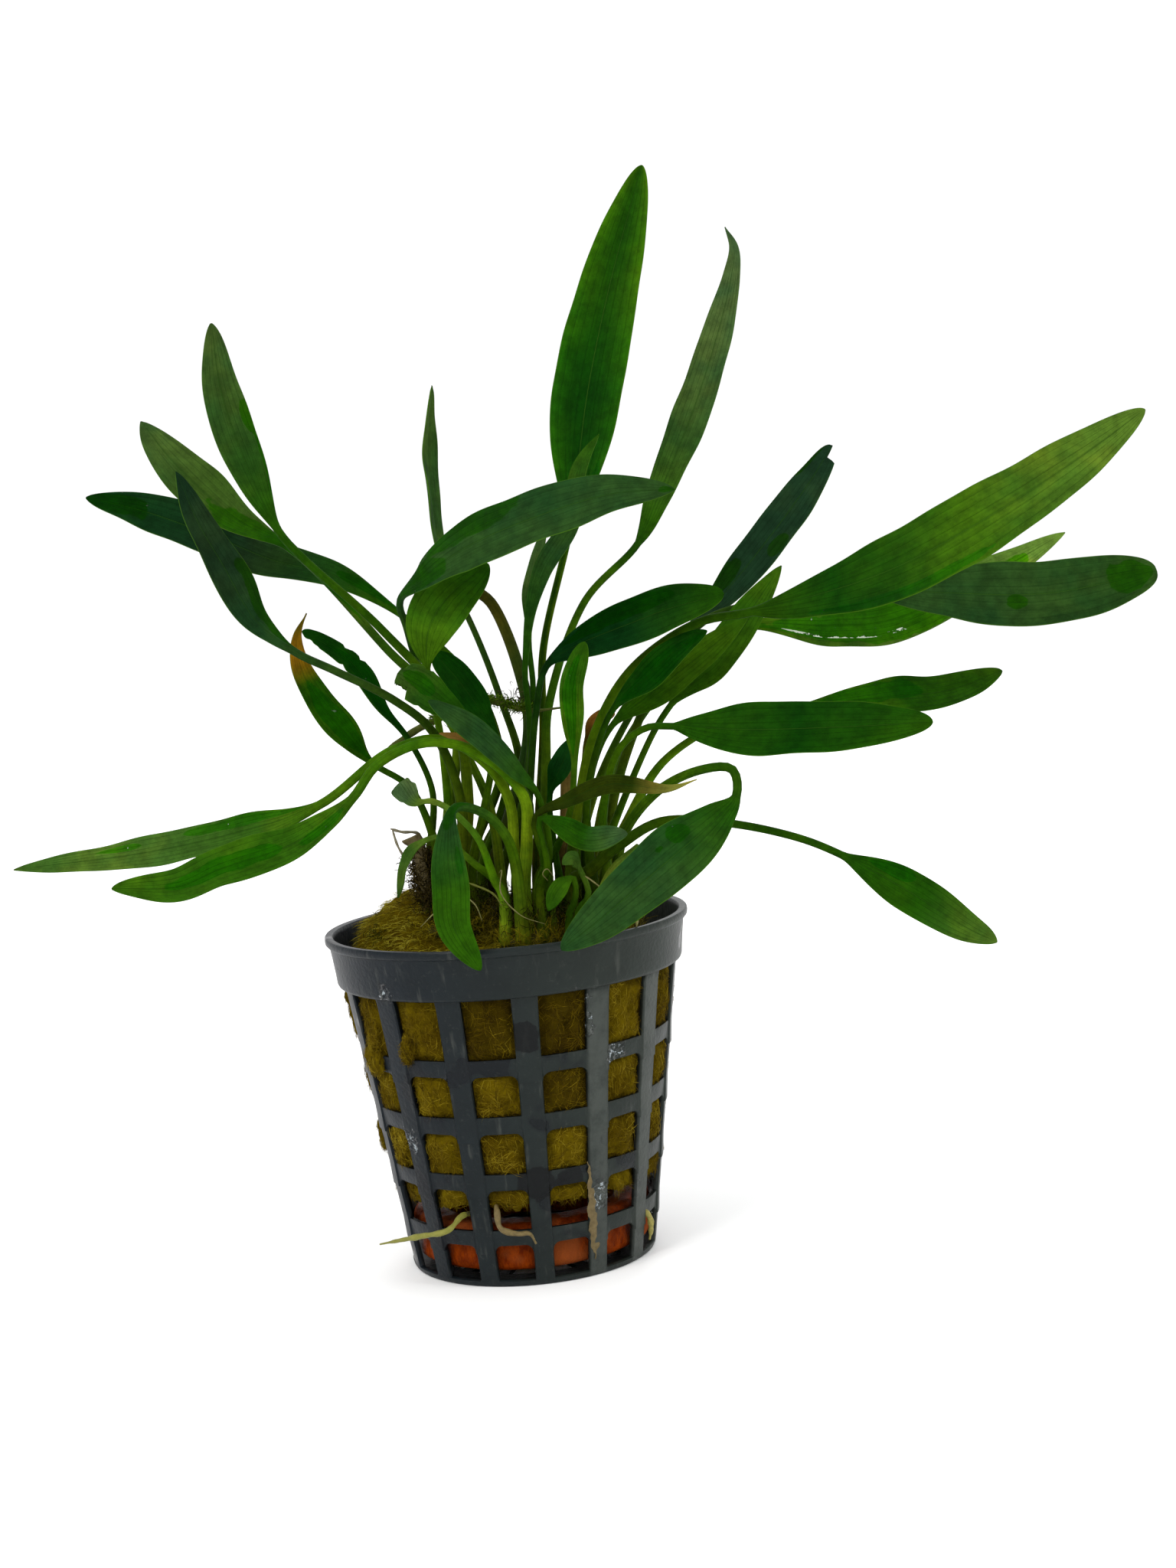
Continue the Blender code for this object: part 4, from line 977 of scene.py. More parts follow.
def lay_fibres(name, points, outward, draw, reach, lift, finish, tones=FIBRE_TONES):
    """Hairs through points of a surface: they lie in it along a direction that drifts with a noise, and their middle
    is lifted off it."""
    count = len(points)
    level = unit(np.cross(outward, (0.05, 0.03, 1.0)))
    climb = np.cross(outward, level)
    swirl = SWIRL * ripple(points, SWIRL_LENGTH, 22) + draw.normal(0.0, SWIRL_CHANCE, count) + SWIRL_MIDDLE
    way = np.cos(swirl)[:, None] * level + np.sin(swirl)[:, None] * climb
    across = np.cross(outward, way)
    half = 0.5 * draw.uniform(*reach, count)[:, None]
    start = points - half * way + draw.uniform(*START_LIFT, count)[:, None] * outward
    end = points + half * way + draw.uniform(END_SINK, 0.7 * lift, count)[:, None] * outward
    middle = points + draw.uniform(0.0, 2.0 * lift, count)[:, None] * outward
    middle = middle + draw.normal(0.0, STRAY, count)[:, None] * across
    radius = draw.uniform(*FIBRE_RADII, count)
    show_strands(name, start, middle, end, radius, fibre_colours(points, draw, tones), finish, "rock_wool")


# %% Fibres in the windows and on the upper face
SIDE_FIBRES, COVER_FIBRES = 16500, 14500
WINDOW_SHARE = 1.03
COVER_REACH = 22.6
COVER_LEAN = 0.1


def window_places(count, draw):
    """Random places in the windows above the lowest row, more in the larger ones: angle from the front, and height."""
    foot, top = np.array(WINDOW_ROWS[1:]).T
    foot = np.maximum(foot, WOOL_FOOT)
    row = draw.choice(len(foot), count, p=(top - foot) / (top - foot).sum())
    turn = math.radians(RIB_TURN) + RIB_PITCH * (draw.integers(RIB_COUNT, size=count) + 0.5)
    turn = turn + WINDOW_HALF_TURN * draw.uniform(-WINDOW_SHARE, WINDOW_SHARE, count)
    return turn, foot[row] + (top - foot)[row] * draw.uniform(0, 1, count)


fibre_finish = strand_finish("wool_fibre", 0.8, 0.05)
draw = np.random.default_rng(31)
turn, height = window_places(SIDE_FIBRES, draw)
lay_fibres("wool_side_fibres", wool_side(turn, height), outwards(turn), draw, (1.0, 3.4), 0.28, fibre_finish)
reach = COVER_REACH * np.sqrt(draw.uniform(0.0, 1.0, COVER_FIBRES))
turn = draw.uniform(0.0, 2.0 * math.pi, COVER_FIBRES)
cover = wool_cover(reach * np.sin(turn), -reach * np.cos(turn))
upward = unit(COVER_LEAN * outwards(turn) + (0.0, 0.0, 1.0))
lay_fibres("wool_cover_fibres", cover, upward, draw, (1.2, 4.2), 0.5, fibre_finish, COVER_TONES)


# %% Cushions of wool that push out of the windows
CUSHIONS = (
    # angle and height of the middle, half width along the wall, half height, how far it stands out
    (-63.0, 33.2, 2.6, 2.3, 1.2),
    (-60.0, 37.5, 1.6, 3.0, 0.6),
    (-42.0, 35.4, 1.3, 1.6, 0.5),
    (-83.0, 20.5, 1.3, 2.4, 0.55),
    (-60.0, 20.4, 1.8, 2.4, 0.35),
    (142.0, 29.0, 2.2, 2.6, 0.6),
    (-150.0, 38.0, 2.4, 3.0, 0.5),
)
CUSHION_FIBRES, CUSHION_SINK = 3200, 0.45


def cushion(angle, height, half_width, half_height, depth, seed, rows=22, columns=40):
    """A lumpy ellipsoid on the wall: its three radii run along the wall, up it and out of it."""
    bend = math.pi * (np.arange(rows) + 0.5)[:, None] / rows
    turn = full_turn(columns)
    ball = np.stack((np.sin(bend) * np.cos(turn), np.sin(bend) * np.sin(turn), np.cos(bend) + 0.0 * turn), axis=-1)
    ball *= (1.0 + 0.22 * ripple(ball, 0.9, seed) + 0.12 * ripple(ball, 0.4, seed + 1))[..., None]
    outward = outwards(math.radians(angle))
    level = np.array((-outward[1], outward[0], 0.0))
    middle = (wall_radius(height) - CUSHION_SINK) * outward + (0.0, 0.0, height)
    moved = ball[..., :1] * half_width * level + ball[..., 1:2] * depth * outward
    return middle + moved + ball[..., 2:] * half_height * np.array((0.0, 0.0, 1.0)), outward


def cushions():
    """All cushions as one surface, and their points with outward directions for fibres."""
    surfaces, places, ways = [], [], []
    for seed, values in enumerate(CUSHIONS):
        rings, outward = cushion(*values, 60 + 2 * seed)
        surfaces.append(closed_surface(rings, inside_out=True))
        flat = rings.reshape(-1, 3)
        front = flat[(flat - flat.mean(0)) @ outward > 0.0]
        places.append(front)
        ways.append(np.broadcast_to(outward, front.shape))
    return joined(surfaces), np.concatenate(places), np.concatenate(ways)


cushion_surface, places, ways = cushions()
show_surface("wool_cushions", cushion_surface, wool_paint, "rock_wool")
pick = draw.integers(len(places), size=CUSHION_FIBRES)
lay_fibres("wool_cushion_fibres", places[pick], ways[pick], draw, (0.8, 2.6), 0.3, fibre_finish)

# %% [markdown]
# ## Leaves: the line, the section and the outline
# Each leaf is one surface. Its middle line passes through a few points that were read off the photograph. Round that
# line go closed sections: a circle along the stalk, and a thin lens with raised margins in the blade. The outline
# swells as a sine up to the widest place and falls from there as a power of a parabola, so one number says how pointed
# the tip is. Real leaves are also damaged: some margins are torn, and one tip has a notch, so a last factor takes
# something off the width.

# %% Where the stalks are rooted
CROWN_RADIUS = 4.5
FEET_IN_RING, FEET_RING_RADIUS = 7, 3.5
FEET_HEIGHT, WOOL_FOOT_HEIGHT = 0.3, 0.6
# How far a stalk goes straight up from its foot before it turns.
FOOT_RISE = 5.0
# The middle of each crown's top.
CROWNS = {
    "front": (3.0, -9.0, 50.0),
    "left": (-8.0, -4.0, 52.0),
    "back_left": (-5.0, 7.0, 52.0),
    "centre": (3.0, 1.0, 50.0),
    "right_front": (13.0, -5.0, 50.0),
    "right_back": (12.0, 6.0, 50.0),
}


def foot_point(foot):
    """A place on a crown's ring of feet (0 is its middle), or a point on the wool."""
    if isinstance(foot[0], str):
        x, y, top = CROWNS[foot[0]]
        turn = 2.0 * math.pi * (foot[1] - 1) / FEET_IN_RING
        reach = FEET_RING_RADIUS if foot[1] else 0.0
        return np.array((x + reach * math.cos(turn), y + reach * math.sin(turn), top + FEET_HEIGHT))
    return np.array((*foot, float(wool_top(*foot)) + WOOL_FOOT_HEIGHT))


print("crowns:", ", ".join(CROWNS))


# %% A leaf's middle line
STALK_SINK = 2.5
STALK_STEP, BLADE_STEP = 1.1, 0.5
LEAST_STALK_RINGS, LEAST_BLADE_RINGS = 8, 24
TIP_CROWDING = 1.4


def leaf_line(leaf):
    """Points of the middle line from the foot to the tip, each one's place along the leaf (0 to 1 on the stalk, 1 to 2
    on the blade), the number of the blade's first point, and the blade's length. The blade's points crowd towards the
    tip: their place is one minus the rest of the way to the power TIP_CROWDING."""
    foot = foot_point(leaf["foot"])
    stalk = [foot - (0.0, 0.0, STALK_SINK), foot + (0.0, 0.0, FOOT_RISE), *leaf["stalk"]]
    whole = smooth_line([*stalk, *leaf["blade"]])
    base = int(np.linalg.norm(whole - np.array(leaf["blade"][0]), axis=1).argmin())
    total = lengths_along(whole)
    blade_length = total[-1] - total[base]
    stalk_share = np.linspace(0.0, 1.0, max(LEAST_STALK_RINGS, int(total[base] / STALK_STEP)))
    blade_share = np.linspace(0.0, 1.0, max(LEAST_BLADE_RINGS, int(blade_length / BLADE_STEP)))
    blade_share = 1.0 - (1.0 - blade_share) ** TIP_CROWDING
    line = np.concatenate((at_shares(whole[:base + 1], stalk_share)[:-1], at_shares(whole[base:], blade_share)))
    return line, np.concatenate((stalk_share[:-1], 1.0 + blade_share)), len(stalk_share) - 1, blade_length


print("rings every", STALK_STEP, "mm of a stalk and", BLADE_STEP, "mm of a blade")


# %% How wide and thick a leaf is
STALK_FOOT_RADIUS, STALK_TOP_RADIUS, STALK_RADIUS_PER_WIDTH = 1.12, 0.38, 0.014
STALK_TAPER = 2.4
STALK_FADE = 3.0
BLADE_HALF_THICKNESS = 0.19
BASE_POWER = 1.0
LEAST_WIDTH_SQUARED = 0.01
THIN_FROM, TIP_THINNING = 0.97, 0.6


def outline_share(share, widest, base, tip):
    """Half width of a blade as a part of its largest. Up to the widest place it is a sine to the power base. From
    there it is one minus the square of the way to the tip, to the power tip: a half makes a round end, one a
    pointed one."""
    rise = np.sin(0.5 * math.pi * np.clip(share / widest, 0.0, 1.0)) ** base
    fall = (1.0 - np.clip((share - widest) / (1.0 - widest), 0.0, 1.0) ** 2) ** tip
    return np.where(share < widest, rise, fall)


def stalk_radii(leaf, along, foot_factor):
    """The stalk's radius: from that of the foot to that of the top by a power of the way. A broad leaf has a thicker
    stalk."""
    top = (STALK_TOP_RADIUS + STALK_RADIUS_PER_WIDTH * leaf["width"]) * leaf.get("stout", 1.0)
    foot = STALK_FOOT_RADIUS * foot_factor
    return top + (foot - top) * (1.0 - np.clip(along, 0.0, 1.0)) ** STALK_TAPER


def half_widths(leaf, share, radius):
    """Half width on the left and on the right, and the mean of the outline alone. The stalk's radius fades into the
    outline: the square root of the sum of their squares."""
    left, right = (0.5 * leaf["width"] * outline_share(share, leaf["widest"], base, leaf["tip"])
                   for base in leaf.get("base", (BASE_POWER, BASE_POWER)))
    stalk = (radius * (1.0 - ease(share * STALK_FADE))) ** 2 + LEAST_WIDTH_SQUARED
    return np.sqrt(left ** 2 + stalk), np.sqrt(right ** 2 + stalk), 0.5 * (left + right)


def half_thickness(share, flat, radius):
    """The stalk's radius at first, the blade's half thickness where it is flat, and less at the very tip."""
    thick = radius * (1.0 - flat) + BLADE_HALF_THICKNESS * flat
    return thick * np.where(share > THIN_FROM, 1.0 - TIP_THINNING * (share - THIN_FROM) / (1.0 - THIN_FROM), 1.0)


print("at nine tenths a blade is this part of its width:", round(float(outline_share(0.9, 0.5, 1.0, 0.6)), 2))


# %% Damage, ribs and waves of a blade
TEAR_LENGTH, TEAR_START = 2.2, 0.12
NOTCH_LENGTH = 0.012
RIB_HEIGHT, RIB_FADE, RIB_WIDTH = 0.75, 0.8, 0.42
GROOVE_DEPTH, GROOVE_WIDTH = 0.1, 0.35
WAVE_HEIGHT, WAVE_LENGTH, LEAST_WAVES, WAVE_END = 0.25, 16.0, 1.5, 6.0
SECOND_WAVE, SECOND_PACE = 0.5, 1.7


def undamaged(leaf, share, across, places):
    """The part of the width that is left. A torn blade loses the positive part of a noise, from some share on. A
    notch cuts a step into one margin, from some share on to the tip."""
    strength, start = leaf.get("torn", (0.0, 0.5))
    frayed = np.clip(ripple(places, TEAR_LENGTH, 91), 0.0, 1.0)
    torn = strength * ease((share - start) / TEAR_START)[:, None] * frayed
    depth, margin, start = leaf.get("notch", (0.0, 1.0, 0.9))
    notched = depth * ease((share - start) / NOTCH_LENGTH)[:, None] * (across * margin > 0.0)
    return (1.0 - torn) * (1.0 - notched)


def rib_and_groove(share, flat, radius, upwards, out):
    """The midrib stands out below as a bell across the blade, as high as the stalk was thick, and fades to the tip.
    Above, there is a shallow groove."""
    rib = RIB_HEIGHT * (radius * (1.0 - share) ** RIB_FADE * flat)[:, None] * np.exp(-(out / RIB_WIDTH) ** 2)
    groove = GROOVE_DEPTH * flat[:, None] * np.exp(-(out / GROOVE_WIDTH) ** 2)
    return -rib * (upwards < 0.0) - groove * (upwards > 0.0)


def waves(share, flat, across, blade_length, start):
    """Two sine waves along the blade: one with the cube of the way across, so that the margins go up and down in
    turn, and a slower one with its square."""
    phase = 2.0 * math.pi * (max(LEAST_WAVES, blade_length / WAVE_LENGTH) * share + start)
    first = np.sin(phase)[:, None] * across ** 3 * (flat * ease((1.0 - share) * WAVE_END))[:, None]
    second = SECOND_WAVE * np.sin(SECOND_PACE * phase + 1.0)[:, None] * across ** 2 * flat[:, None]
    return WAVE_HEIGHT * (first + second)


print("waves on a blade of 48 mm:", 48.0 / WAVE_LENGTH)


# %% A leaf's surface
LEAF_SIDES = 40
# The share of the blade in which it becomes flat, and how much sharper than an ellipse its section is.
FLAT_FROM, LENS_SHARPNESS = 0.16, 0.45


def leaf_surface(leaf, foot_factor, wave_start):
    """Rings from the foot to the tip, and for each point its place along the leaf and across it (-1 to 1), and whether
    it is on the upper side. A ring lies square to the line: across it goes the half width times a cosine, and up from
    it the half thickness times a sine, the cup, the rib and the waves."""
    line, along, steady, blade_length = leaf_line(leaf)
    ahead = unit(np.gradient(line, axis=0))
    up = carried_up(ahead, unit(np.array(leaf["face"], float)), steady)
    side = np.cross(ahead, up)
    share = np.clip(along - 1.0, 0.0, 1.0)
    flat = ease(share / FLAT_FROM)
    radius = stalk_radii(leaf, along, foot_factor)
    left, right, spread = half_widths(leaf, share, radius)
    turn = full_turn(LEAF_SIDES)
    across = np.broadcast_to(np.cos(turn), (len(line), LEAF_SIDES))
    upwards = np.sin(turn)
    out = across * np.where(across > 0.0, right[:, None], left[:, None])
    out = out * undamaged(leaf, share, across, line[:, None] + side[:, None] * out[..., None])
    lens = np.sign(upwards) * np.abs(upwards) ** (1.0 - LENS_SHARPNESS * flat[:, None])
    lift = half_thickness(share, flat, radius)[:, None] * lens
    lift = lift + leaf["cup"] * (flat * spread)[:, None] * across ** 2
    lift = lift + rib_and_groove(share, flat, radius, upwards, out)
    breadth = (spread / (0.5 * leaf["width"]))[:, None]
    lift = lift + breadth * waves(share, flat, across, blade_length, wave_start)
    rings = line[:, None] + side[:, None] * out[..., None] + up[:, None] * lift[..., None]
    along = np.repeat(along[:, None], LEAF_SIDES, axis=1)
    return rings, along, across, np.broadcast_to(upwards > 0.0, along.shape)


print("points round a leaf:", LEAF_SIDES)

# %% [markdown]
# ## The leaf's finish
# A cryptocoryne blade has a midrib, three or so pairs of fine veins that run beside it and meet at the tip, a pale
# thin margin, and a waxy bloom that greys the green when it is dry. Wet patches lose the bloom: they turn dark,
# saturated and glossy. The veins follow the blade's own UV map, across and along, so they bend with it. The colour
# along the leaf and the wet patches are attributes of the mesh, worked out for each leaf.

# %% Markings of a blade
LEAF_MARKS = {
    "sunny": (1.45, 1.18, 1.0), "shady": (0.76, 0.88, 0.9), "vein": (0.001, 0.018, 0.0005),
    "beside": (0.001, 0.020, 0.0005), "midrib": (0.05, 0.13, 0.012), "margin": (0.050, 0.13, 0.006),
    "painted_glint": (0.50, 0.56, 0.46),
}
# Noise across and along the blade, so that it is drawn out into streaks.
STREAK_SCALE = (24.0, 5.0, 1.0)


def leaf_lines(tree, uv):
    """The shares of the fine veins, the midrib, the shade beside it and the margin, from the blade's UV map: the way
    from the middle to the margin is folded to and fro for the veins."""
    split = add(tree, "ShaderNodeSeparateXYZ", {"Vector": uv})
    from_middle = compute(tree, "ABSOLUTE", compute(tree, "MULTIPLY_ADD", split.outputs["X"], 2.0, -1.0))
    on_blade = between(tree, split.outputs["Y"], 0.52, 0.58)
    vein = between(tree, compute(tree, "PINGPONG", from_middle, 0.125), 0.0, 0.02, 1.0, 0.0)
    midrib = compute(tree, "MULTIPLY", between(tree, from_middle, 0.0, 0.022, 1.0, 0.0), on_blade)
    beside = between(tree, from_middle, 0.02, 0.09, 1.0, 0.0)
    margin = compute(tree, "MULTIPLY", between(tree, from_middle, 0.965, 0.985), on_blade)
    return vein, midrib, beside, margin


def mottled_green(tree, uv):
    """The leaf's own colour with fine mottle, sunny and shady patches, and streaks along the blade."""
    lengthwise = add(tree, "ShaderNodeMapping", {"Vector": uv, "Scale": STREAK_SCALE}).outputs["Vector"]
    streak = add(tree, "ShaderNodeTexNoise", {"Vector": lengthwise, "Scale": 1.0, "Detail": 3.0}).outputs["Fac"]
    body = toned(tree, attribute(tree, "tint"), between(tree, spots(tree, 420.0, 5.0, 0.75), 0.3, 0.7, 0.74, 1.28))
    patch = between(tree, spots(tree, 75.0, 3.0, 0.6), 0.40, 0.62)
    patchy = blend_colours(tree, patch, toned(tree, body, LEAF_MARKS["shady"]), toned(tree, body, LEAF_MARKS["sunny"]))
    return toned(tree, patchy, between(tree, streak, 0.3, 0.7, 0.90, 1.10))


print("marks of a blade:", ", ".join(LEAF_MARKS))


# %% Leaf finish
WET_SHARE = (0.43, 0.93, 0.03)
# What is added to the attribute wet where a painted glint of a water film lies.
PAINTED_GLINT_STEP = 2.0


def leaf_finish(name, bloom):
    """The finish of one kind of leaf. bloom is how much wax greys its dry surface. Where it is wet the colour is
    multiplied by WET_SHARE, and small drops catch the light. Where a film of water lies, a pale painted glint is laid
    into the colour."""
    material, tree, shader = new_finish(name, 0.5, 0.01 + 0.012 * bloom)
    uv = add(tree, "ShaderNodeUVMap", uv_map="blade").outputs["UV"]
    vein, midrib, beside, margin = leaf_lines(tree, uv)
    lined = laid_over(tree, mottled_green(tree, uv), LEAF_MARKS["vein"], vein, 0.25)
    shaded = laid_over(tree, lined, LEAF_MARKS["beside"], beside, 0.25)
    ribbed = laid_over(tree, shaded, LEAF_MARKS["midrib"], midrib, 0.28)
    wetness = attribute(tree, "wet", "Fac")
    wet = between(tree, compute(tree, "MULTIPLY_ADD", spots(tree, 260.0, 3.0), 0.5, wetness), 0.73, 0.76)
    watered = laid_over(tree, ribbed, toned(tree, ribbed, WET_SHARE), wet)
    edged = laid_over(tree, watered, LEAF_MARKS["margin"], margin, 0.6)
    # Painted highlight: where the attribute wet is raised by the glint step, a pale glint of a water film is laid into
    # the colour.
    film = compute(tree, "SUBTRACT", wetness, PAINTED_GLINT_STEP)
    film = compute(tree, "MULTIPLY_ADD", spots(tree, 700.0, 4.0, 0.7), 1.2, film)
    gleaming = laid_over(tree, edged, LEAF_MARKS["painted_glint"], between(tree, film, 1.17, 1.24))
    feed(tree, gleaming, shader.inputs["Base Color"])
    drops = compute(tree, "MULTIPLY", wet, between(tree, spots(tree, 900.0, 2.0, 0.5), 0.735, 0.75))
    feed(tree, drops, shader.inputs["Coat Weight"])
    shader.inputs["Coat Roughness"].default_value = 0.08
    feed(tree, between(tree, wet, 0.0, 1.0, 0.5 + 0.2 * bloom, 0.42), shader.inputs["Roughness"])
    ridge = compute(tree, "MULTIPLY_ADD", vein, 0.35, compute(tree, "MULTIPLY", spots(tree, 1400.0, 3.0), 0.6))
    beaded = compute(tree, "MULTIPLY_ADD", drops, 3.0, ridge)
    roughen(tree, shader, compute(tree, "SUBTRACT", beaded, compute(tree, "MULTIPLY", midrib, 0.8)), 0.12 * MM)
    return material


# How much bloom each kind of leaf has.
LEAF_BLOOM = {"mid_green": 0.2, "dark_green": 0.0, "grey_green": 1.0, "glaucous": 0.8, "olive_green": 0.5,
              "yellow_green": 0.2, "brown": 0.3}
LEAF_FINISHES = {kind: leaf_finish("leaf_" + kind, bloom) for kind, bloom in LEAF_BLOOM.items()}
print("leaf finishes:", len(LEAF_FINISHES))

# %% [markdown]
# ## The leaves
# Every leaf is grown from the same few numbers as its solid: where it is rooted, the points of its stalk and blade,
# its largest width and where that is, how pointed it is, which way its upper side looks and how far its margins rise.
# Some leaves say more: how full each margin is near the stalk (base), how thick and light the stalk is (stout,
# light), where its three tones lie (turns), how yellow its margins are (rim), where it is wet (wet), where a painted
# glint of a water film lies (glints), and where its margin is torn or notched (torn, notch).

# %% The table of leaves
TONES = {
    "deep": (0.0024, 0.026, 0.0036),
    "blue": (0.0066, 0.0213, 0.0074),
    "forest": (0.0025, 0.0295, 0.0007),
    "mid": (0.0107, 0.0525, 0.0008),
    "bright": (0.024, 0.08, 0.0022),
    "light": (0.0426, 0.0968, 0.0115),
    "yellow": (0.0861, 0.1435, 0.0148),
    "lemon": (0.135, 0.215, 0.028),
    "grey": (0.0312, 0.0689, 0.0148),
    "ash": (0.038, 0.077, 0.026),
    "glaucous": (0.0107, 0.0394, 0.0082),
    "slate": (0.0085, 0.0265, 0.01),
    "olive": (0.0197, 0.0541, 0.0074),
    "umber": (0.0328, 0.0262, 0.0016),
    "straw": (0.246, 0.2132, 0.0328),
    "tan": (0.2, 0.12, 0.028),
    "amber": (0.115, 0.07, 0.003),
    "dusk": (0.011, 0.022, 0.0006),
    "rust": (0.16, 0.08, 0.014),
}


def leaf_row(foot, stalk, blade, width, widest, tip, face, cup, finish, tones, **more):
    """The values of one leaf under their names. more is what only some leaves say. One tone stands for all three."""
    return dict(foot=foot, stalk=stalk, blade=blade, width=width, widest=widest, tip=tip, face=face, cup=cup,
                finish=finish, tones=(3 * tones.split())[:3], **more)


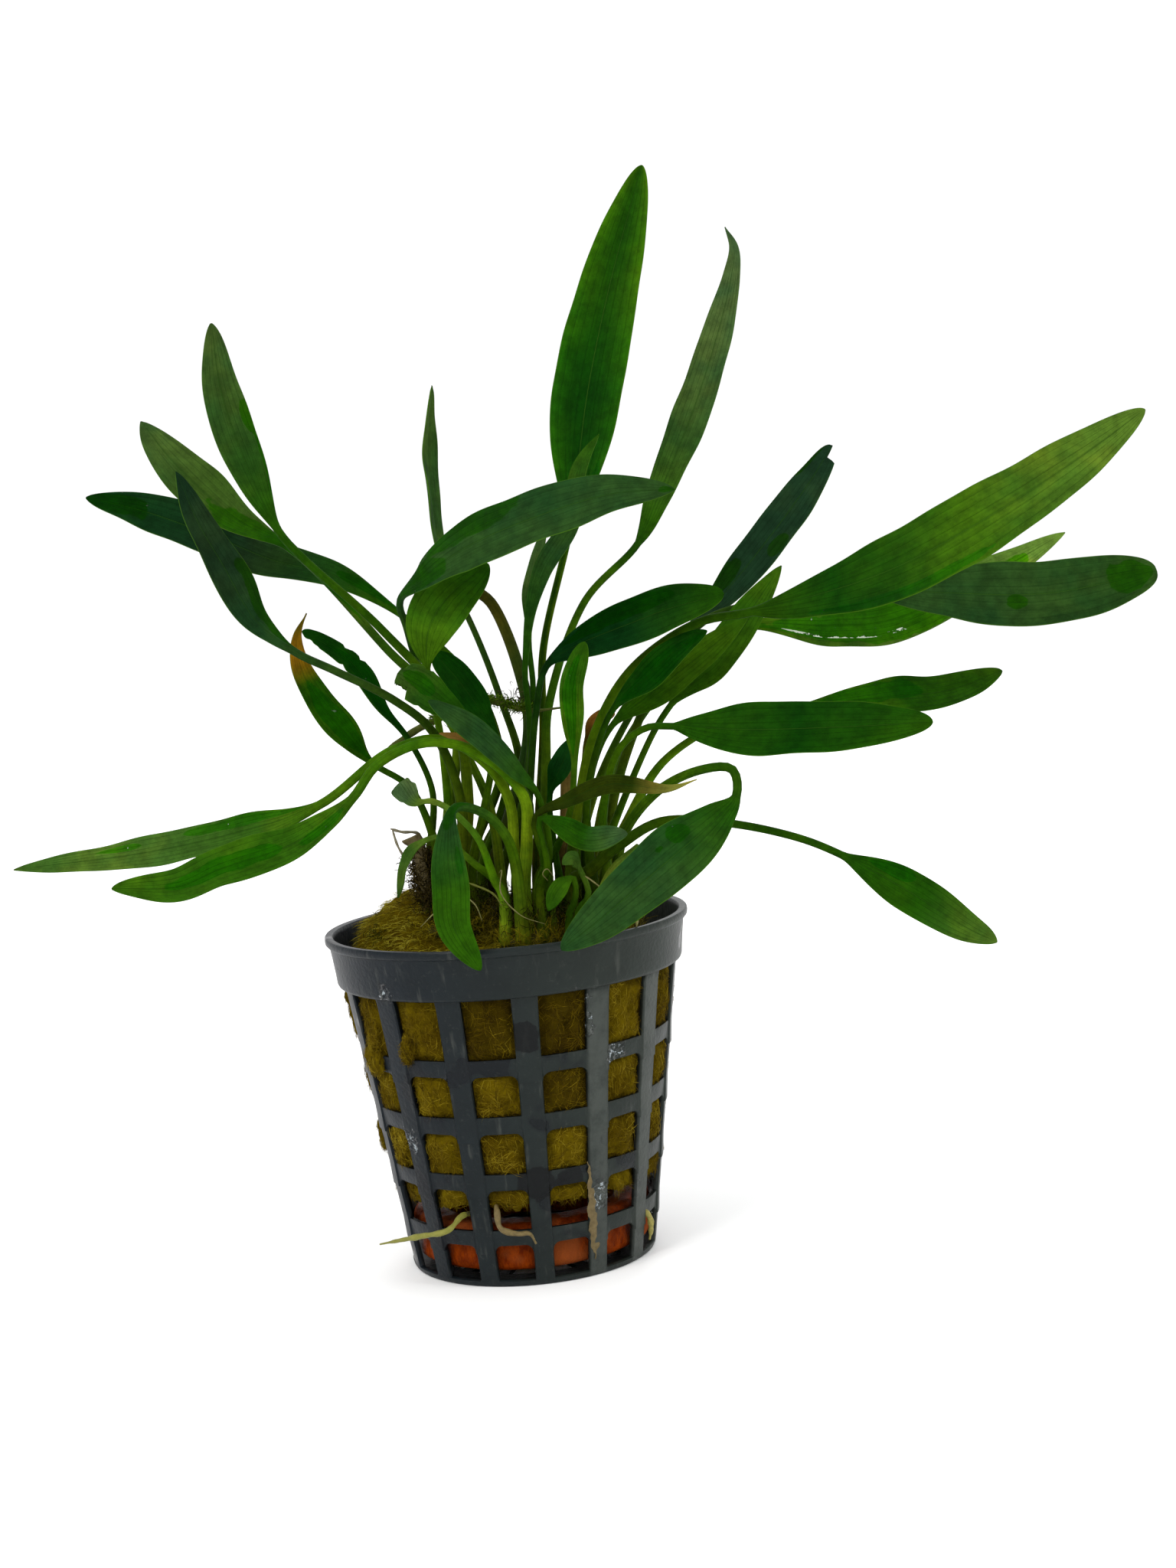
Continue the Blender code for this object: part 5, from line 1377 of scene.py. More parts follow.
# In each row: foot, points of the stalk, points of the blade, width, widest place, pointedness, upper side's
# direction, how far the margins rise, finish, and the tones from the base to the tip.
LEAVES = {
    "tall": leaf_row(("centre", 2), ((8, 8, 76), (9, 9, 88)),
        ((15, 13, 107), (19.3, 18, 126), (24.2, 22, 142), (31, 26, 160.5)),
        10.8, 0.36, 0.6, (-0.2, -1, 0.2), 0.12, "mid_green", "forest forest mid", wet=((0.05, 0.8, 0.12, 0.25),),
        base=(0.75, 0.75), rim=2.4),
    "upright_right": leaf_row(("centre", 1), ((8, 3, 73), (9, 5, 80), (16, 12, 95)),
        ((25, 16, 103), (29, 19, 110), (35, 24, 121), (40, 28, 132), (44, 31, 143), (44.9, 32.2, 147.6),
         (43.8, 33, 151)),
        6, 0.42, 0.9, (-0.4, -1, 0.1), 0.15, "grey_green", "mid grey ash", base=(0.6, 0.6), stout=1.15),
    "folded": leaf_row(("centre", 4), ((5, 1, 70), (6, 1, 79)),
        ((6, 2, 86), (8, 3, 95), (10, 3, 100), (15, 5, 107), (16.8, 6.2, 114.5), (20, 7.5, 119.5)),
        3.4, 0.6, 0.8, (-0.6, -1, 0), 0.5, "grey_green", "mid glaucous bright"),
    "narrow": leaf_row(("centre", 3), ((5, 5, 70), (7, 5, 83)),
        ((7, 6, 90), (8, 6, 97), (11, 7, 107)),
        2.6, 0.5, 0.75, (-0.6, -1, 0), 0.3, "grey_green", "mid grey grey"),
    "dark_right": leaf_row(("centre", 0), ((5, -1, 68), (7, -2, 80)),
        ((9, -3, 86.5), (13, -5, 89), (22, -7.5, 92), (27, -9, 93.5), (34.5, -13, 95)),
        7.4, 0.5, 0.5, (-0.3, -1, 0.5), 0.12, "dark_green", "deep deep mid", wet=((0.45, -0.6, 0.3, 0.4),)),
    "front_arch": leaf_row(("centre", 5), ((-1, 0, 67), (-5, 0, 78), (-9, -2, 87), (-10.4, -7, 94)),
        ((-10.8, -11, 98), (-7, -15, 101), (-2, -15, 104), (6, -18, 107), (19, -20, 110), (28, -22, 110)),
        9, 0.45, 0.66, (-0.2, -1, 0.7), 0.1, "glaucous", "glaucous",
        wet=((0.36, -0.75, 0.17, 0.42), (0.1, 0, 0.13, 0.9), (0.98, 0, 0.04, 0.6))),
    "young": leaf_row(("centre", 7), ((8, -5, 60), (10.6, -7.4, 66)),
        ((11.6, -9, 72), (12, -10.5, 78), (12.4, -11.5, 84), (14.5, -12.6, 90)),
        3.8, 0.62, 0.5, (-0.4, -1, 0.2), 0.3, "mid_green", "bright", wet=((0.5, -0.2, 0.4, 0.5),)),
    "far_left": leaf_row(("back_left", 0), ((1, 8, 70), (1, 8, 77), (-2, 8, 85)),
        ((-11, 9, 95), (-21, 12, 102), (-30, 15, 105), (-38, 17, 109), (-49, 20, 114), (-58, 22, 117)),
        8, 0.62, 0.66, (0.2, -1, 0.7), 0.15, "dark_green", "mid blue deep",
        wet=((0.12, 0.3, 0.12, 0.5), (1, 0, 0.2, 0.9))),
    "edge_on": leaf_row(("back_left", 2), ((4, 12, 70), (2, 12, 82), (-2, 13, 95)),
        ((-4.5, 14, 100), (-5.5, 16.5, 110), (-5.5, 19.5, 120), (-4, 22, 129.5)),
        5, 0.45, 0.75, (1, -0.45, 0), 0.2, "grey_green", "olive"),
    "left_olive": leaf_row(("back_left", 5), ((-7, 5, 66), (-5, 5, 79), (-14, 3, 91), (-23, 2, 103)),
        ((-27, 2, 107), (-34, 3.5, 111.5), (-42.5, 6.5, 120.5), (-47, 10, 127)),
        8, 0.55, 0.8, (0.5, -1, 0.5), 0.12, "olive_green", "olive olive grey", wet=((0.1, -0.3, 0.33, 0.9),),
        stout=1.2),
    "beside_torn": leaf_row(("back_left", 7), ((0, 2, 64), (2, 0, 71)),
        ((1, -2, 77), (-1, -3, 81), (-4, -4, 86), (-7, -4, 90)),
        5, 0.6, 0.5, (0.4, -1, 0.3), 0.2, "dark_green", "forest"),
    "left_upright": leaf_row(("left", 2), ((-4, -2, 68), (-5, -5, 81), (-14, -6, 94), (-24, -8, 105)),
        ((-27, -8, 109), (-30.7, -9, 119), (-33, -10, 129), (-33.3, -11, 138.3)),
        6.2, 0.45, 0.62, (0.4, -1, 0.2), 0.15, "mid_green", "mid olive grey",
        wet=((0.54, 0.85, 0.1, 0.3), (0.35, 0.95, 0.2, 0.12)), stout=1.2, light=1.1),
    "left_glaucous": leaf_row(("left", 7), ((-5, -8, 69), (-8, -9, 79), (-13, -10, 84), (-21, -11, 89)),
        ((-26, -12, 92), (-31, -14, 97), (-34.5, -16.5, 105), (-37, -19, 111), (-39, -21, 118)),
        6, 0.45, 0.75, (0.6, -1, 0.4), 0.2, "glaucous", "glaucous blue blue", wet=((0.2, 0.8, 0.3, 0.5),),
        stout=1.2),
    "yellow_green": leaf_row(("left", 0), ((-7, -4, 66), (-7, -6, 78)),
        ((-8, -9, 88), (-7, -12, 94), (-4, -12, 98), (2, -9, 102)),
        8, 0.5, 0.66, (0, -1, 0.3), 0.1, "yellow_green", "bright bright mid"),
    "torn_dark": leaf_row(("left", 1), ((-2, -5, 66), (0, -7, 75)),
        ((-2, -11, 79), (-6, -13, 83), (-12, -14, 88)),
        6.2, 0.78, 0.32, (0.5, -1, 0.5), 0.12, "dark_green", "mid mid olive", wet=((0.75, 0.2, 0.2, 0.4),),
        torn=(0.7, 0.6)),
    "torn_back": leaf_row(("left", 4), ((-10, -2, 62), (-9, -2, 70)),
        ((-12, -1, 78), (-15, 0.5, 82), (-19, 3.5, 89), (-26, 5, 94.5)),
        3.4, 0.6, 0.4, (0.6, -1, 0.4), 0.15, "dark_green", "forest", wet=((0.4, 0, 0.4, 0.7),),
        torn=(0.4, 0.5)),
    "brown_tipped": leaf_row(("left", 6), ((-9, -7, 62), (-12, -6, 71)),
        ((-17, -6, 75), (-20, -7, 79), (-24, -7.5, 85), (-26, -7, 90), (-26, -7, 94), (-24.3, -7, 97.2)),
        5, 0.34, 1.4, (0.6, -1, 0.4), 0.2, "dark_green", "mid mid amber", wet=((0.3, 0.1, 0.3, 0.7),),
        turns=(1.08, 1.58, 1.72)),
    "low_left_front": leaf_row(("front", 0),
        ((4, -11, 63), (4, -12, 69), (-2, -14.5, 76), (-9, -15, 78), (-16, -15, 75.5)),
        ((-20, -15, 71), (-28, -18, 66), (-38.5, -21, 63.5), (-44, -24, 62), (-52.5, -27, 63)),
        6.4, 0.5, 0.6, (0.1, -1, 0.8), 0.25, "mid_green", "bright",
        wet=((0.55, 0.1, 0.25, 0.45), (0.15, -0.3, 0.12, 0.4)), base=(0.75, 0.75), stout=1.4, light=2.2),
    "low_left_back": leaf_row(("front", 3), ((2, -8, 60), (2, -8, 68), (-1, -10, 74), (-7, -11, 78), (-14, -11, 77)),
        ((-25, -9, 70), (-37, -8, 67), (-51, -6, 65), (-70, -3, 64)),
        5.6, 0.35, 0.75, (0.1, -1, 0.8), 0.15, "mid_green", "bright light light",
        wet=((0.25, 0.6, 0.2, 0.3), (0.65, 0.5, 0.08, 0.2)), base=(0.8, 0.8), stout=1.4, light=2),
    "hanging": leaf_row(("front", 6), ((2, -13, 60), (1, -15, 64), (-1, -17, 67), (-4, -20, 69)),
        ((-6, -23, 69), (-7, -26, 64), (-7, -28, 59), (-7, -30, 54), (-4, -31, 48)),
        5.2, 0.5, 0.62, (-0.1, -1, 0.4), 0.15, "glaucous", "glaucous mid mid",
        wet=((0.32, -0.62, 0.09, 0.25), (0, 0, 0.12, 0.9)), base=(0.8, 0.8), stout=1.4, light=1.4),
    "grey_tip": leaf_row(("front", 5), ((-1, -11, 57), (-3, -14, 64), (-7, -17, 69)),
        ((-9, -17, 70), (-11, -17, 70), (-13, -17, 73)),
        3.6, 0.86, 0.14, (-0.3, -1, 0.5), 0.4, "yellow_green", "yellow light ash", turns=(1, 1.35, 1.6),
        base=(1.8, 1.4), light=2.6, torn=(0.75, 0.45)),
    "yellowed": leaf_row(("front", 1), ((6, -11.6, 60),),
        ((5.4, -13, 66), (10, -14, 68), (16, -16, 70), (24, -19, 69), (28, -20, 70)),
        2.8, 0.4, 1.3, (-0.2, -1, 0.3), 0.1, "olive_green", "dusk dusk straw", turns=(1.08, 1.62, 1.98)),
    "mid_glaucous": leaf_row(("front", 2), ((7, -8, 60),),
        ((6, -11, 69), (3, -14.6, 73), (-1, -16.4, 78), (-8, -18, 84)),
        4.1, 0.55, 0.6, (0.4, -1, 0.5), 0.15, "glaucous", "mid glaucous glaucous", light=1.5),
    "short_pale": leaf_row(("front", 7), ((6.5, -14, 59),),
        ((6, -15.6, 66), (9, -16.4, 64.6), (12, -16.6, 62.5), (18, -17, 63)),
        4.4, 0.5, 0.6, (0.1, -1, 0.8), 0.25, "yellow_green", "mid mid ash"),
    "thin_left": leaf_row(("front", 4), ((-4, -10, 60), (-8, -11, 64)),
        ((-10, -11, 64), (-13, -11, 62), (-15, -11, 56)),
        1.6, 0.4, 0.75, (-0.4, -1, 0.3), 0.2, "olive_green", "light light olive", light=2),
    "brown_edged": leaf_row(("centre", 6), ((3, -4, 59), (5, -6, 66)),
        ((4, -10, 70), (0, -11.4, 75), (-3, -12.6, 77.4), (-7, -12.8, 79)),
        2.2, 0.5, 0.75, (0.4, -1, 0.4), 0.3, "brown", "olive umber tan"),
    "right_broad": leaf_row(("right_front", 4), ((12, -3, 66), (15, -4, 76), (21, -5, 85), (31, -6, 91)),
        ((39, -7, 92), (57.5, -11, 96), (73, -14.5, 103), (87, -18, 111), (93.5, -21, 115.5)),
        10.8, 0.45, 0.6, (-0.3, -1, 0.5), 0.08, "mid_green", "forest bright yellow", base=(0.95, 0.62),
        wet=((0.34, 0.8, 0.2, 0.16),), stout=1.2, turns=(1.2, 1.55, 2)),
    "pair_front": leaf_row(("right_front", 0), ((13, -6, 66), (15, -7, 74)),
        ((18, -8, 80), (23, -9, 84), (28, -10, 88), (32, -10, 90)),
        4.6, 0.45, 0.66, (-0.4, -1, 0.4), 0.15, "dark_green", "forest", wet=((0.5, 0.2, 0.4, 0.7),)),
    "pair_back": leaf_row(("right_front", 3), ((13, -1, 64), (15, 0, 72)),
        ((18, 0, 77), (24, 0, 81), (33, -1, 87), (39, -1, 91)),
        5.6, 0.42, 0.9, (-0.4, -1, 0.4), 0.12, "dark_green", "mid bright bright"),
    "right_hidden": leaf_row(("right_front", 2), ((19, -2, 63), (25, 0, 71), (35, 1, 76)),
        ((46, 3, 77), (59.5, 7, 77), (70, 11, 77), (79, 15, 79)),
        6.4, 0.5, 0.6, (0, -1, 0.7), 0.1, "mid_green", "bright mid bright", wet=((0.3, -0.3, 0.25, 0.6),)),
    "right_level": leaf_row(("right_front", 7), ((15, -9, 64), (18, -10, 74), (22, -11, 77)),
        ((26, -12, 77), (35.5, -16.5, 76), (51, -21.5, 75.5), (60.5, -25, 75.5)),
        8.5, 0.38, 0.5, (0, -1, 0.6), 0.1, "dark_green", "mid forest mid", base=(0.75, 0.75)),
    "drooping": leaf_row(("right_front", 1), ((18, -8, 62), (23, -12, 68), (29, -17, 71), (33, -20, 71)),
        ((33, -23, 67.5), (30, -25, 65), (21.5, -29, 59.5), (12, -31, 53), (7, -32, 50)),
        8.8, 0.4, 0.6, (-0.1, -1, 0.6), 0.1, "glaucous", "mid glaucous glaucous",
        wet=((0.31, 0.5, 0.06, 0.35), (0.42, 0.46, 0.02, 0.12)), base=(0.8, 0.8), stout=1.25, light=1.2),
    "low_right": leaf_row(("right_front", 5),
        ((12, -10, 57), (17, -13, 61), (23, -15, 64), (32, -15, 63), (42, -15, 60)),
        ((48, -15, 57), (56.5, -18, 51.5), (64, -22, 46), (67, -26, 44.5)),
        6.2, 0.4, 0.6, (-0.2, -1, 0.6), 0.1, "mid_green", "mid mid light", wet=((0.3, -0.6, 0.14, 0.35),),
        stout=1.15),
    "right_long": leaf_row(("right_back", 2), ((16, 9, 64), (20, 10, 73), (30, 11, 84)),
        ((40, 12, 89), (53.5, 15, 88), (63, 17.5, 88), (80.5, 21, 94), (92.5, 25, 99)),
        8, 0.32, 0.75, (0, -1, 0.5), 0.1, "yellow_green", "bright light lemon", wet=((0.45, 0.1, 0.42, 0.8),),
        glints=((0.27, 0.55, 0.16, 0.07), (0.42, 0.52, 0.05, 0.09), (0.14, 0.45, 0.05, 0.07))),
    "bright_corner": leaf_row(("right_back", 7), ((17, 2, 62), (24, 3, 75)),
        ((27, 3, 79), (30, 3, 82), (34, 3, 85), (40, 3, 92), (45, 4, 98)),
        6, 0.35, 0.75, (-0.5, -1, 0.2), 0.1, "yellow_green", "bright"),
    "right_notched": leaf_row(("right_back", 3), ((16, 13, 68), (22, 13, 78)),
        ((30, 12, 88), (37, 14.5, 94), (45, 17, 102), (52.5, 21.5, 110), (57, 25, 115.5)),
        6.4, 0.5, 0.42, (-0.4, -1, 0.2), 0.1, "glaucous", "slate", notch=(0.8, 1, 0.925),
        wet=((0.51, 0.6, 0.05, 0.35), (0.28, -0.6, 0.1, 0.5), (0.9, -0.9, 0.1, 0.2))),
    "right_blunt": leaf_row(("right_back", 1), ((18, 6, 67), (26, 7, 83), (34, 8, 91), (47, 7, 93)),
        ((54, 6, 94), (68, 5, 92), (84.5, 4, 90.5), (100.5, 3, 92.5)),
        10.6, 0.58, 0.42, (0, -1, 0.5), 0.08, "glaucous", "glaucous glaucous olive",
        wet=((0.92, -0.1, 0.075, 0.7), (0.55, 0.21, 0.032, 0.22), (0.02, 0, 0.06, 0.9))),
    "dead": leaf_row(("right_back", 6), ((12, 3, 62), (13.6, 2.6, 72)),
        ((14.2, 2.4, 75), (15.6, 2.2, 77.4), (18.6, 2, 78.6)),
        2.3, 0.5, 0.5, (0.2, -1, 0.6), 0.5, "brown", "umber rust tan"),
    "inner_dark": leaf_row((8.6, -1.2), ((8, -1, 60),),
        ((8, -2, 68), (10, -3, 72), (12, -3, 76)),
        3.4, 0.5, 0.75, (-0.4, -1, 0.2), 0.3, "dark_green", "forest deep deep"),
    "seedling_upper": leaf_row((10.4, -11.4), ((12, -12, 54),),
        ((11, -12, 58), (10, -13, 59.6), (8.6, -13.4, 59)),
        2.2, 0.5, 0.75, (0.2, -1, 0.6), 0.2, "yellow_green", "light", light=1.6),
    "seedling_lower": leaf_row((9, -13.6), ((10, -14, 54),),
        ((10, -14, 57), (8, -15, 56), (6, -16, 53)),
        2.6, 0.5, 0.75, (0, -1, 0.4), 0.2, "mid_green", "bright"),
}
print("leaves:", len(LEAVES))


# %% Colours and wet patches of a leaf
STALK_TONES = np.array(((0.064, 0.092, 0.004), (0.026, 0.070, 0.001)))
STALK_TURNS, USUAL_TURNS = (0.0, 0.5), (1.08, 1.5, 2.0)
RIM_COLOUR = np.array((1.5, 0.6, 0.3))
UNDERSIDE_FACTOR, UNDERSIDE_ADDED, UNDERSIDE_FROM = 1.15, np.array((0.008, 0.014, 0.005)), 1.02


def leaf_tints(leaf, light, along, across, upper):
    """The colour of each point: from the stalk's foot to its top, times light, then the blade's three tones from
    base to tip. rim makes the margins yellower with the square of the way across. The underside is paler."""
    knots = (*STALK_TURNS, *leaf.get("turns", USUAL_TURNS))
    steps = np.array((*(light * STALK_TONES), *(TONES[tone] for tone in leaf["tones"])))
    colour = at_places(along, knots, steps)
    colour = colour * (1.0 + leaf.get("rim", 0.0) * across[..., None] ** 2 * RIM_COLOUR)
    below = (~upper & (along > UNDERSIDE_FROM))[..., None]
    return np.where(below, colour * UNDERSIDE_FACTOR + UNDERSIDE_ADDED, colour)


def wet_field(patches, glints, along, across, upper):
    """How wet the upper side is: for each oval patch, given by its place along and across the blade and its half
    sizes, one in its middle, a half at its edge and nothing at twice its size. In a painted glint, the highlight of a
    film of water, the value is the glint step more."""
    field = np.zeros(along.shape)
    for step, ovals in ((0.0, patches), (PAINTED_GLINT_STEP, glints)):
        for place, side, length, breadth in ovals:
            away = np.hypot((along - 1.0 - place) / length, (across - side) / breadth)
            field = np.maximum(field, (step + np.clip(1.0 - 0.5 * away, 0.0, 1.0)) * (away < 2.0))
    return field * upper


def give_attributes(mesh, along, across, tint, wet):
    """Writes the UV map and the attributes that the leaf finish reads. The two poles take the ends' values."""
    def with_poles(values):
        flat = values.reshape(-1, *values.shape[2:])
        return np.concatenate((flat, values[:1].mean(1), values[-1:].mean(1)))

    corner_point = np.empty(len(mesh.loops), np.int32)
    mesh.loops.foreach_get("vertex_index", corner_point)
    uv = np.stack((0.5 + 0.5 * with_poles(across), 0.5 * with_poles(along)), axis=-1)[corner_point]
    mesh.uv_layers.new(name="blade").uv.foreach_set("vector", uv.astype(np.float32).ravel())
    colour = np.concatenate((with_poles(tint), np.ones((len(mesh.vertices), 1))), axis=1)
    mesh.attributes.new("tint", "FLOAT_COLOR", "POINT").data.foreach_set("color", colour.astype(np.float32).ravel())
    mesh.attributes.new("wet", "FLOAT", "POINT").data.foreach_set("value", with_poles(wet).astype(np.float32))


print("tones of a stalk:", len(STALK_TONES))


# %% Grow the leaves
# For each thing that differs from leaf to leaf: the step from one leaf to the next, the least value and the range.
FOOT_VARIES, LIGHT_VARIES, WAVE_VARIES = (0.62, 0.8, 0.35), (0.755, 0.6, 0.9), (0.37, 0.0, 1.0)


def varied(number, step, least, span):
    """The least value plus a part of the range: the fraction of the number times the step, which scatters evenly."""
    return least + span * ((step * number) % 1.0)


def grow_leaf(number, name, leaf):
    """One leaf with its attributes. Its number sets how thick and how light its stalk is, and where it waves."""
    rings, along, across, upper = leaf_surface(leaf, varied(number, *FOOT_VARIES), varied(number, *WAVE_VARIES))
    points, faces = closed_surface(rings, inside_out=True)
    mesh = make_mesh("fine_leaf_" + name, points, faces)
    tint = leaf_tints(leaf, leaf.get("light", varied(number, *LIGHT_VARIES)), along, across, upper)
    wet = wet_field(leaf.get("wet", ()), leaf.get("glints", ()), along, across, upper)
    give_attributes(mesh, along, across, tint, wet)
    show("fine_leaf_" + name, mesh, LEAF_FINISHES[leaf["finish"]], "leaf_" + leaf["finish"], "leaf_" + name)
    return len(faces)


print("leaf faces:", sum(grow_leaf(number, *entry) for number, entry in enumerate(LEAVES.items())))

# %% [markdown]
# ## Bare stalks
# Three stalks have lost their blades. Each is a tube along a smooth line, and one is pressed flat.

# %% Bare stalks
STALK_SIDES, STALK_RING_STEP, LEAST_RINGS = 14, 0.9, 12
STALKS = {
    # foot, further points, radius at the end, finish, tones, and depth where it is flattened
    "stalk_bare_brown": (("back_left", 1), ((2, 8, 64), (6, 9, 77), (5, 9, 87), (2, 10, 96), (0, 10, 98)),
                         0.8, "olive_green", ("umber", "olive", "umber")),
    "stalk_dead_tan": (("right_back", 5), ((10, 4, 62), (11, 4, 73)), 0.8, "brown", ("umber", "tan", "tan")),
    "stalk_cut_green": ((13.6, -12.0), ((16, -13, 57), (20, -14, 60)), 1.3, "yellow_green",
                        ("light", "yellow", "yellow"), 0.4),
}


def grow_stalk(name, foot, way, end_radius, finish, tones, depth=1.0):
    """A tube whose radius changes evenly from the foot to the end. A depth below one flattens it to a strap."""
    start = foot_point(foot)
    line = smooth_line([start, start + (0.0, 0.0, FOOT_RISE), *way])
    line = evenly(line, max(LEAST_RINGS, int(lengths_along(line)[-1] / STALK_RING_STEP)))
    share = np.linspace(0.0, 1.0, len(line))
    rings = tube(line, STALK_FOOT_RADIUS + (end_radius - STALK_FOOT_RADIUS) * share, STALK_SIDES)
    rings[..., 1] = line[:, None, 1] + depth * (rings[..., 1] - line[:, None, 1])
    points, faces = closed_surface(rings, inside_out=True)
    mesh = make_mesh("fine_" + name, points, faces)
    tint = at_places(share, (0.0, 0.5, 1.0), [TONES[tone] for tone in tones])
    across = np.broadcast_to(np.cos(full_turn(STALK_SIDES)), rings.shape[:2])
    along, tint = (np.repeat(values[:, None], STALK_SIDES, axis=1) for values in (share, tint))
    give_attributes(mesh, along, across, tint, np.zeros(rings.shape[:2]))
    show("fine_" + name, mesh, LEAF_FINISHES[finish], "leaf_" + finish, name)


for name, values in STALKS.items():
    grow_stalk(name, *values)
print("bare stalks:", len(STALKS))

# %% [markdown]
# ## A twig and a root
# A thin mossy twig hangs across the clump, and one pale root has found its way out of a low window. Bark and dry skin
# have one kind of finish: a noise mixes a dark and a light tone, and roughens the surface.

# %% Barks
BARKS = {
    # dark tone, light tone, roughness
    "twig": ((0.026, 0.036, 0.003), (0.085, 0.105, 0.010), 0.8),
    "pale_root": ((0.11, 0.115, 0.010), (0.26, 0.25, 0.055), 0.5),
    # The crown's near-black tones are partly painted shade under the leaves.
    "crown": ((0.012, 0.014, 0.001), (0.052, 0.054, 0.004), 0.7),
    "dry_sheath": ((0.040, 0.028, 0.008), (0.17, 0.135, 0.060), 0.8),
    "dried_debris": ((0.045, 0.032, 0.012), (0.20, 0.150, 0.070), 0.9),
}


def bark_finish(name):
    """The finish of one bark: the noise is the share of the light tone and the height of the fine relief."""
    dark, light, roughness = BARKS[name]
    material, tree, shader = new_finish(name, roughness, 0.2)
    grain = spots(tree, 1200.0, 4.0, 0.6)
    feed(tree, blend_colours(tree, grain, dark, light), shader.inputs["Base Color"])
    roughen(tree, shader, grain, 0.2 * MM)
    return material


print("barks:", ", ".join(BARKS))


# %% Tubes that taper
def tapered_tube(way, radius, sides, step, least, end_share, tapers, swells):
    """A closed tube along a smooth line, with a ring at each step. The radius falls to its end share at both ends,
    the faster the larger the two tapers are. Sine waves, each with a height, a pace and a start, make it uneven."""
    line = smooth_line(way)
    line = evenly(line, max(least, int(lengths_along(line)[-1] / step)))
    share = np.linspace(0.0, 1.0, len(line))
    full = ease(share * tapers[0]) * ease((1.0 - share) * tapers[1])
    uneven = 1.0 + sum(height * np.sin(share * pace + start) for height, pace, start in swells)
    thickness = radius * (end_share + (1.0 - end_share) * full) * uneven
    return closed_surface(tube(line, thickness, sides), inside_out=True)


STRAND_FORM = dict(sides=10, step=0.35, least=20, end_share=0.35, tapers=(6.0, 3.0),
                   swells=((0.12, 31.0, 0.0), (0.08, 67.0, 0.0)))
STRANDS = {
    # points, radius, bark, slot
    "moss_twig": (((-17, 1, 75), (-10, 1, 79), (-4, 2, 81), (0, 4, 82), (6, 3, 80), (11, 3, 80)), 0.5, "twig", "twig"),
    "root_escaping": (((-8, -13, 10), (-10, -18, 11), (-12, -21, 10), (-16, -19, 9), (-22, -14, 7)), 0.4,
                      "pale_root", "root"),
}
for name, (way, radius, bark, slot) in STRANDS.items():
    show_surface("fine_" + name, tapered_tube(way, radius, **STRAND_FORM), bark_finish(bark), slot, name)

# %% [markdown]
# ## Crowns
# Under the leaves of each plant sits a short rootstock. What shows of it are the leaf sheaths that wrap round it, so
# it is a squat dome with seven upright folds, one below each foot, dark partly from wet sheaths and partly as painted
# shade under the leaves. Most of it is in the wool.

# %% Crowns
CROWN_FOLD, CROWN_SINK, CROWN_SHARE = 0.13, 0.9, 0.84
# The arc's directions, from the foot over the widest place to the top.
CROWN_ARC = np.radians(np.concatenate((np.linspace(-70.0, 0.0, 6), np.linspace(10.0, 82.0, 10))))
CROWN_WIDEST, CROWN_BELOW, CROWN_ABOVE = 1.2, 3.2, 1.2
CROWN_WAIST, CROWN_ROUNDING = 0.55, 0.6
CROWN_LUMP, CROWN_LUMP_LENGTH, CROWN_MIDDLE = 0.25, 1.8, 2.0


def crown_surface(name, columns=84):
    """A squat dome: radius and height follow an arc from the foot to the top. The radius swells as a cosine seven
    times round, and noise makes it uneven."""
    x, y, top = CROWNS[name]
    top = top - CROWN_SINK
    below = CROWN_ARC < 0.0
    cosine = np.cos(CROWN_ARC)
    reach = np.where(below, CROWN_WAIST + (1.0 - CROWN_WAIST) * cosine, cosine ** CROWN_ROUNDING)
    height = top - CROWN_WIDEST + np.where(below, CROWN_BELOW, CROWN_ABOVE) * np.sin(CROWN_ARC)
    turn = full_turn(columns)
    reach = CROWN_SHARE * CROWN_RADIUS * reach[:, None] * (1.0 + CROWN_FOLD * np.cos(FEET_IN_RING * turn))
    points = (x, y, 0.0) + round_axis(reach, height[:, None], turn)
    away = unit(points - np.array((x, y, top - CROWN_MIDDLE)))
    return points + CROWN_LUMP * ripple(points, CROWN_LUMP_LENGTH, len(name))[..., None] * away


crown_and_painted_shade_finish = bark_finish("crown")
for name in CROWNS:
    show_surface("fine_crown_" + name, closed_surface(crown_surface(name)), crown_and_painted_shade_finish, "crown", "crown_" + name)

# %% [markdown]
# ## Small roots, moss and debris
# Thin pale roots wander over the wool, one hangs out of a low window, and two have dried and peeled at the left. They
# are tubes along smooth lines, all in one mesh with a colour for each. Moss on the twig and at the rim, a dark mat of
# old roots at the left and round each crown, and the wool that creeps up round the stalks are hairs. The near-black
# mat round each crown is partly painted shade among the stalk feet. A dry sheath stands at the left, and a flake of
# dried debris sticks to one rib.

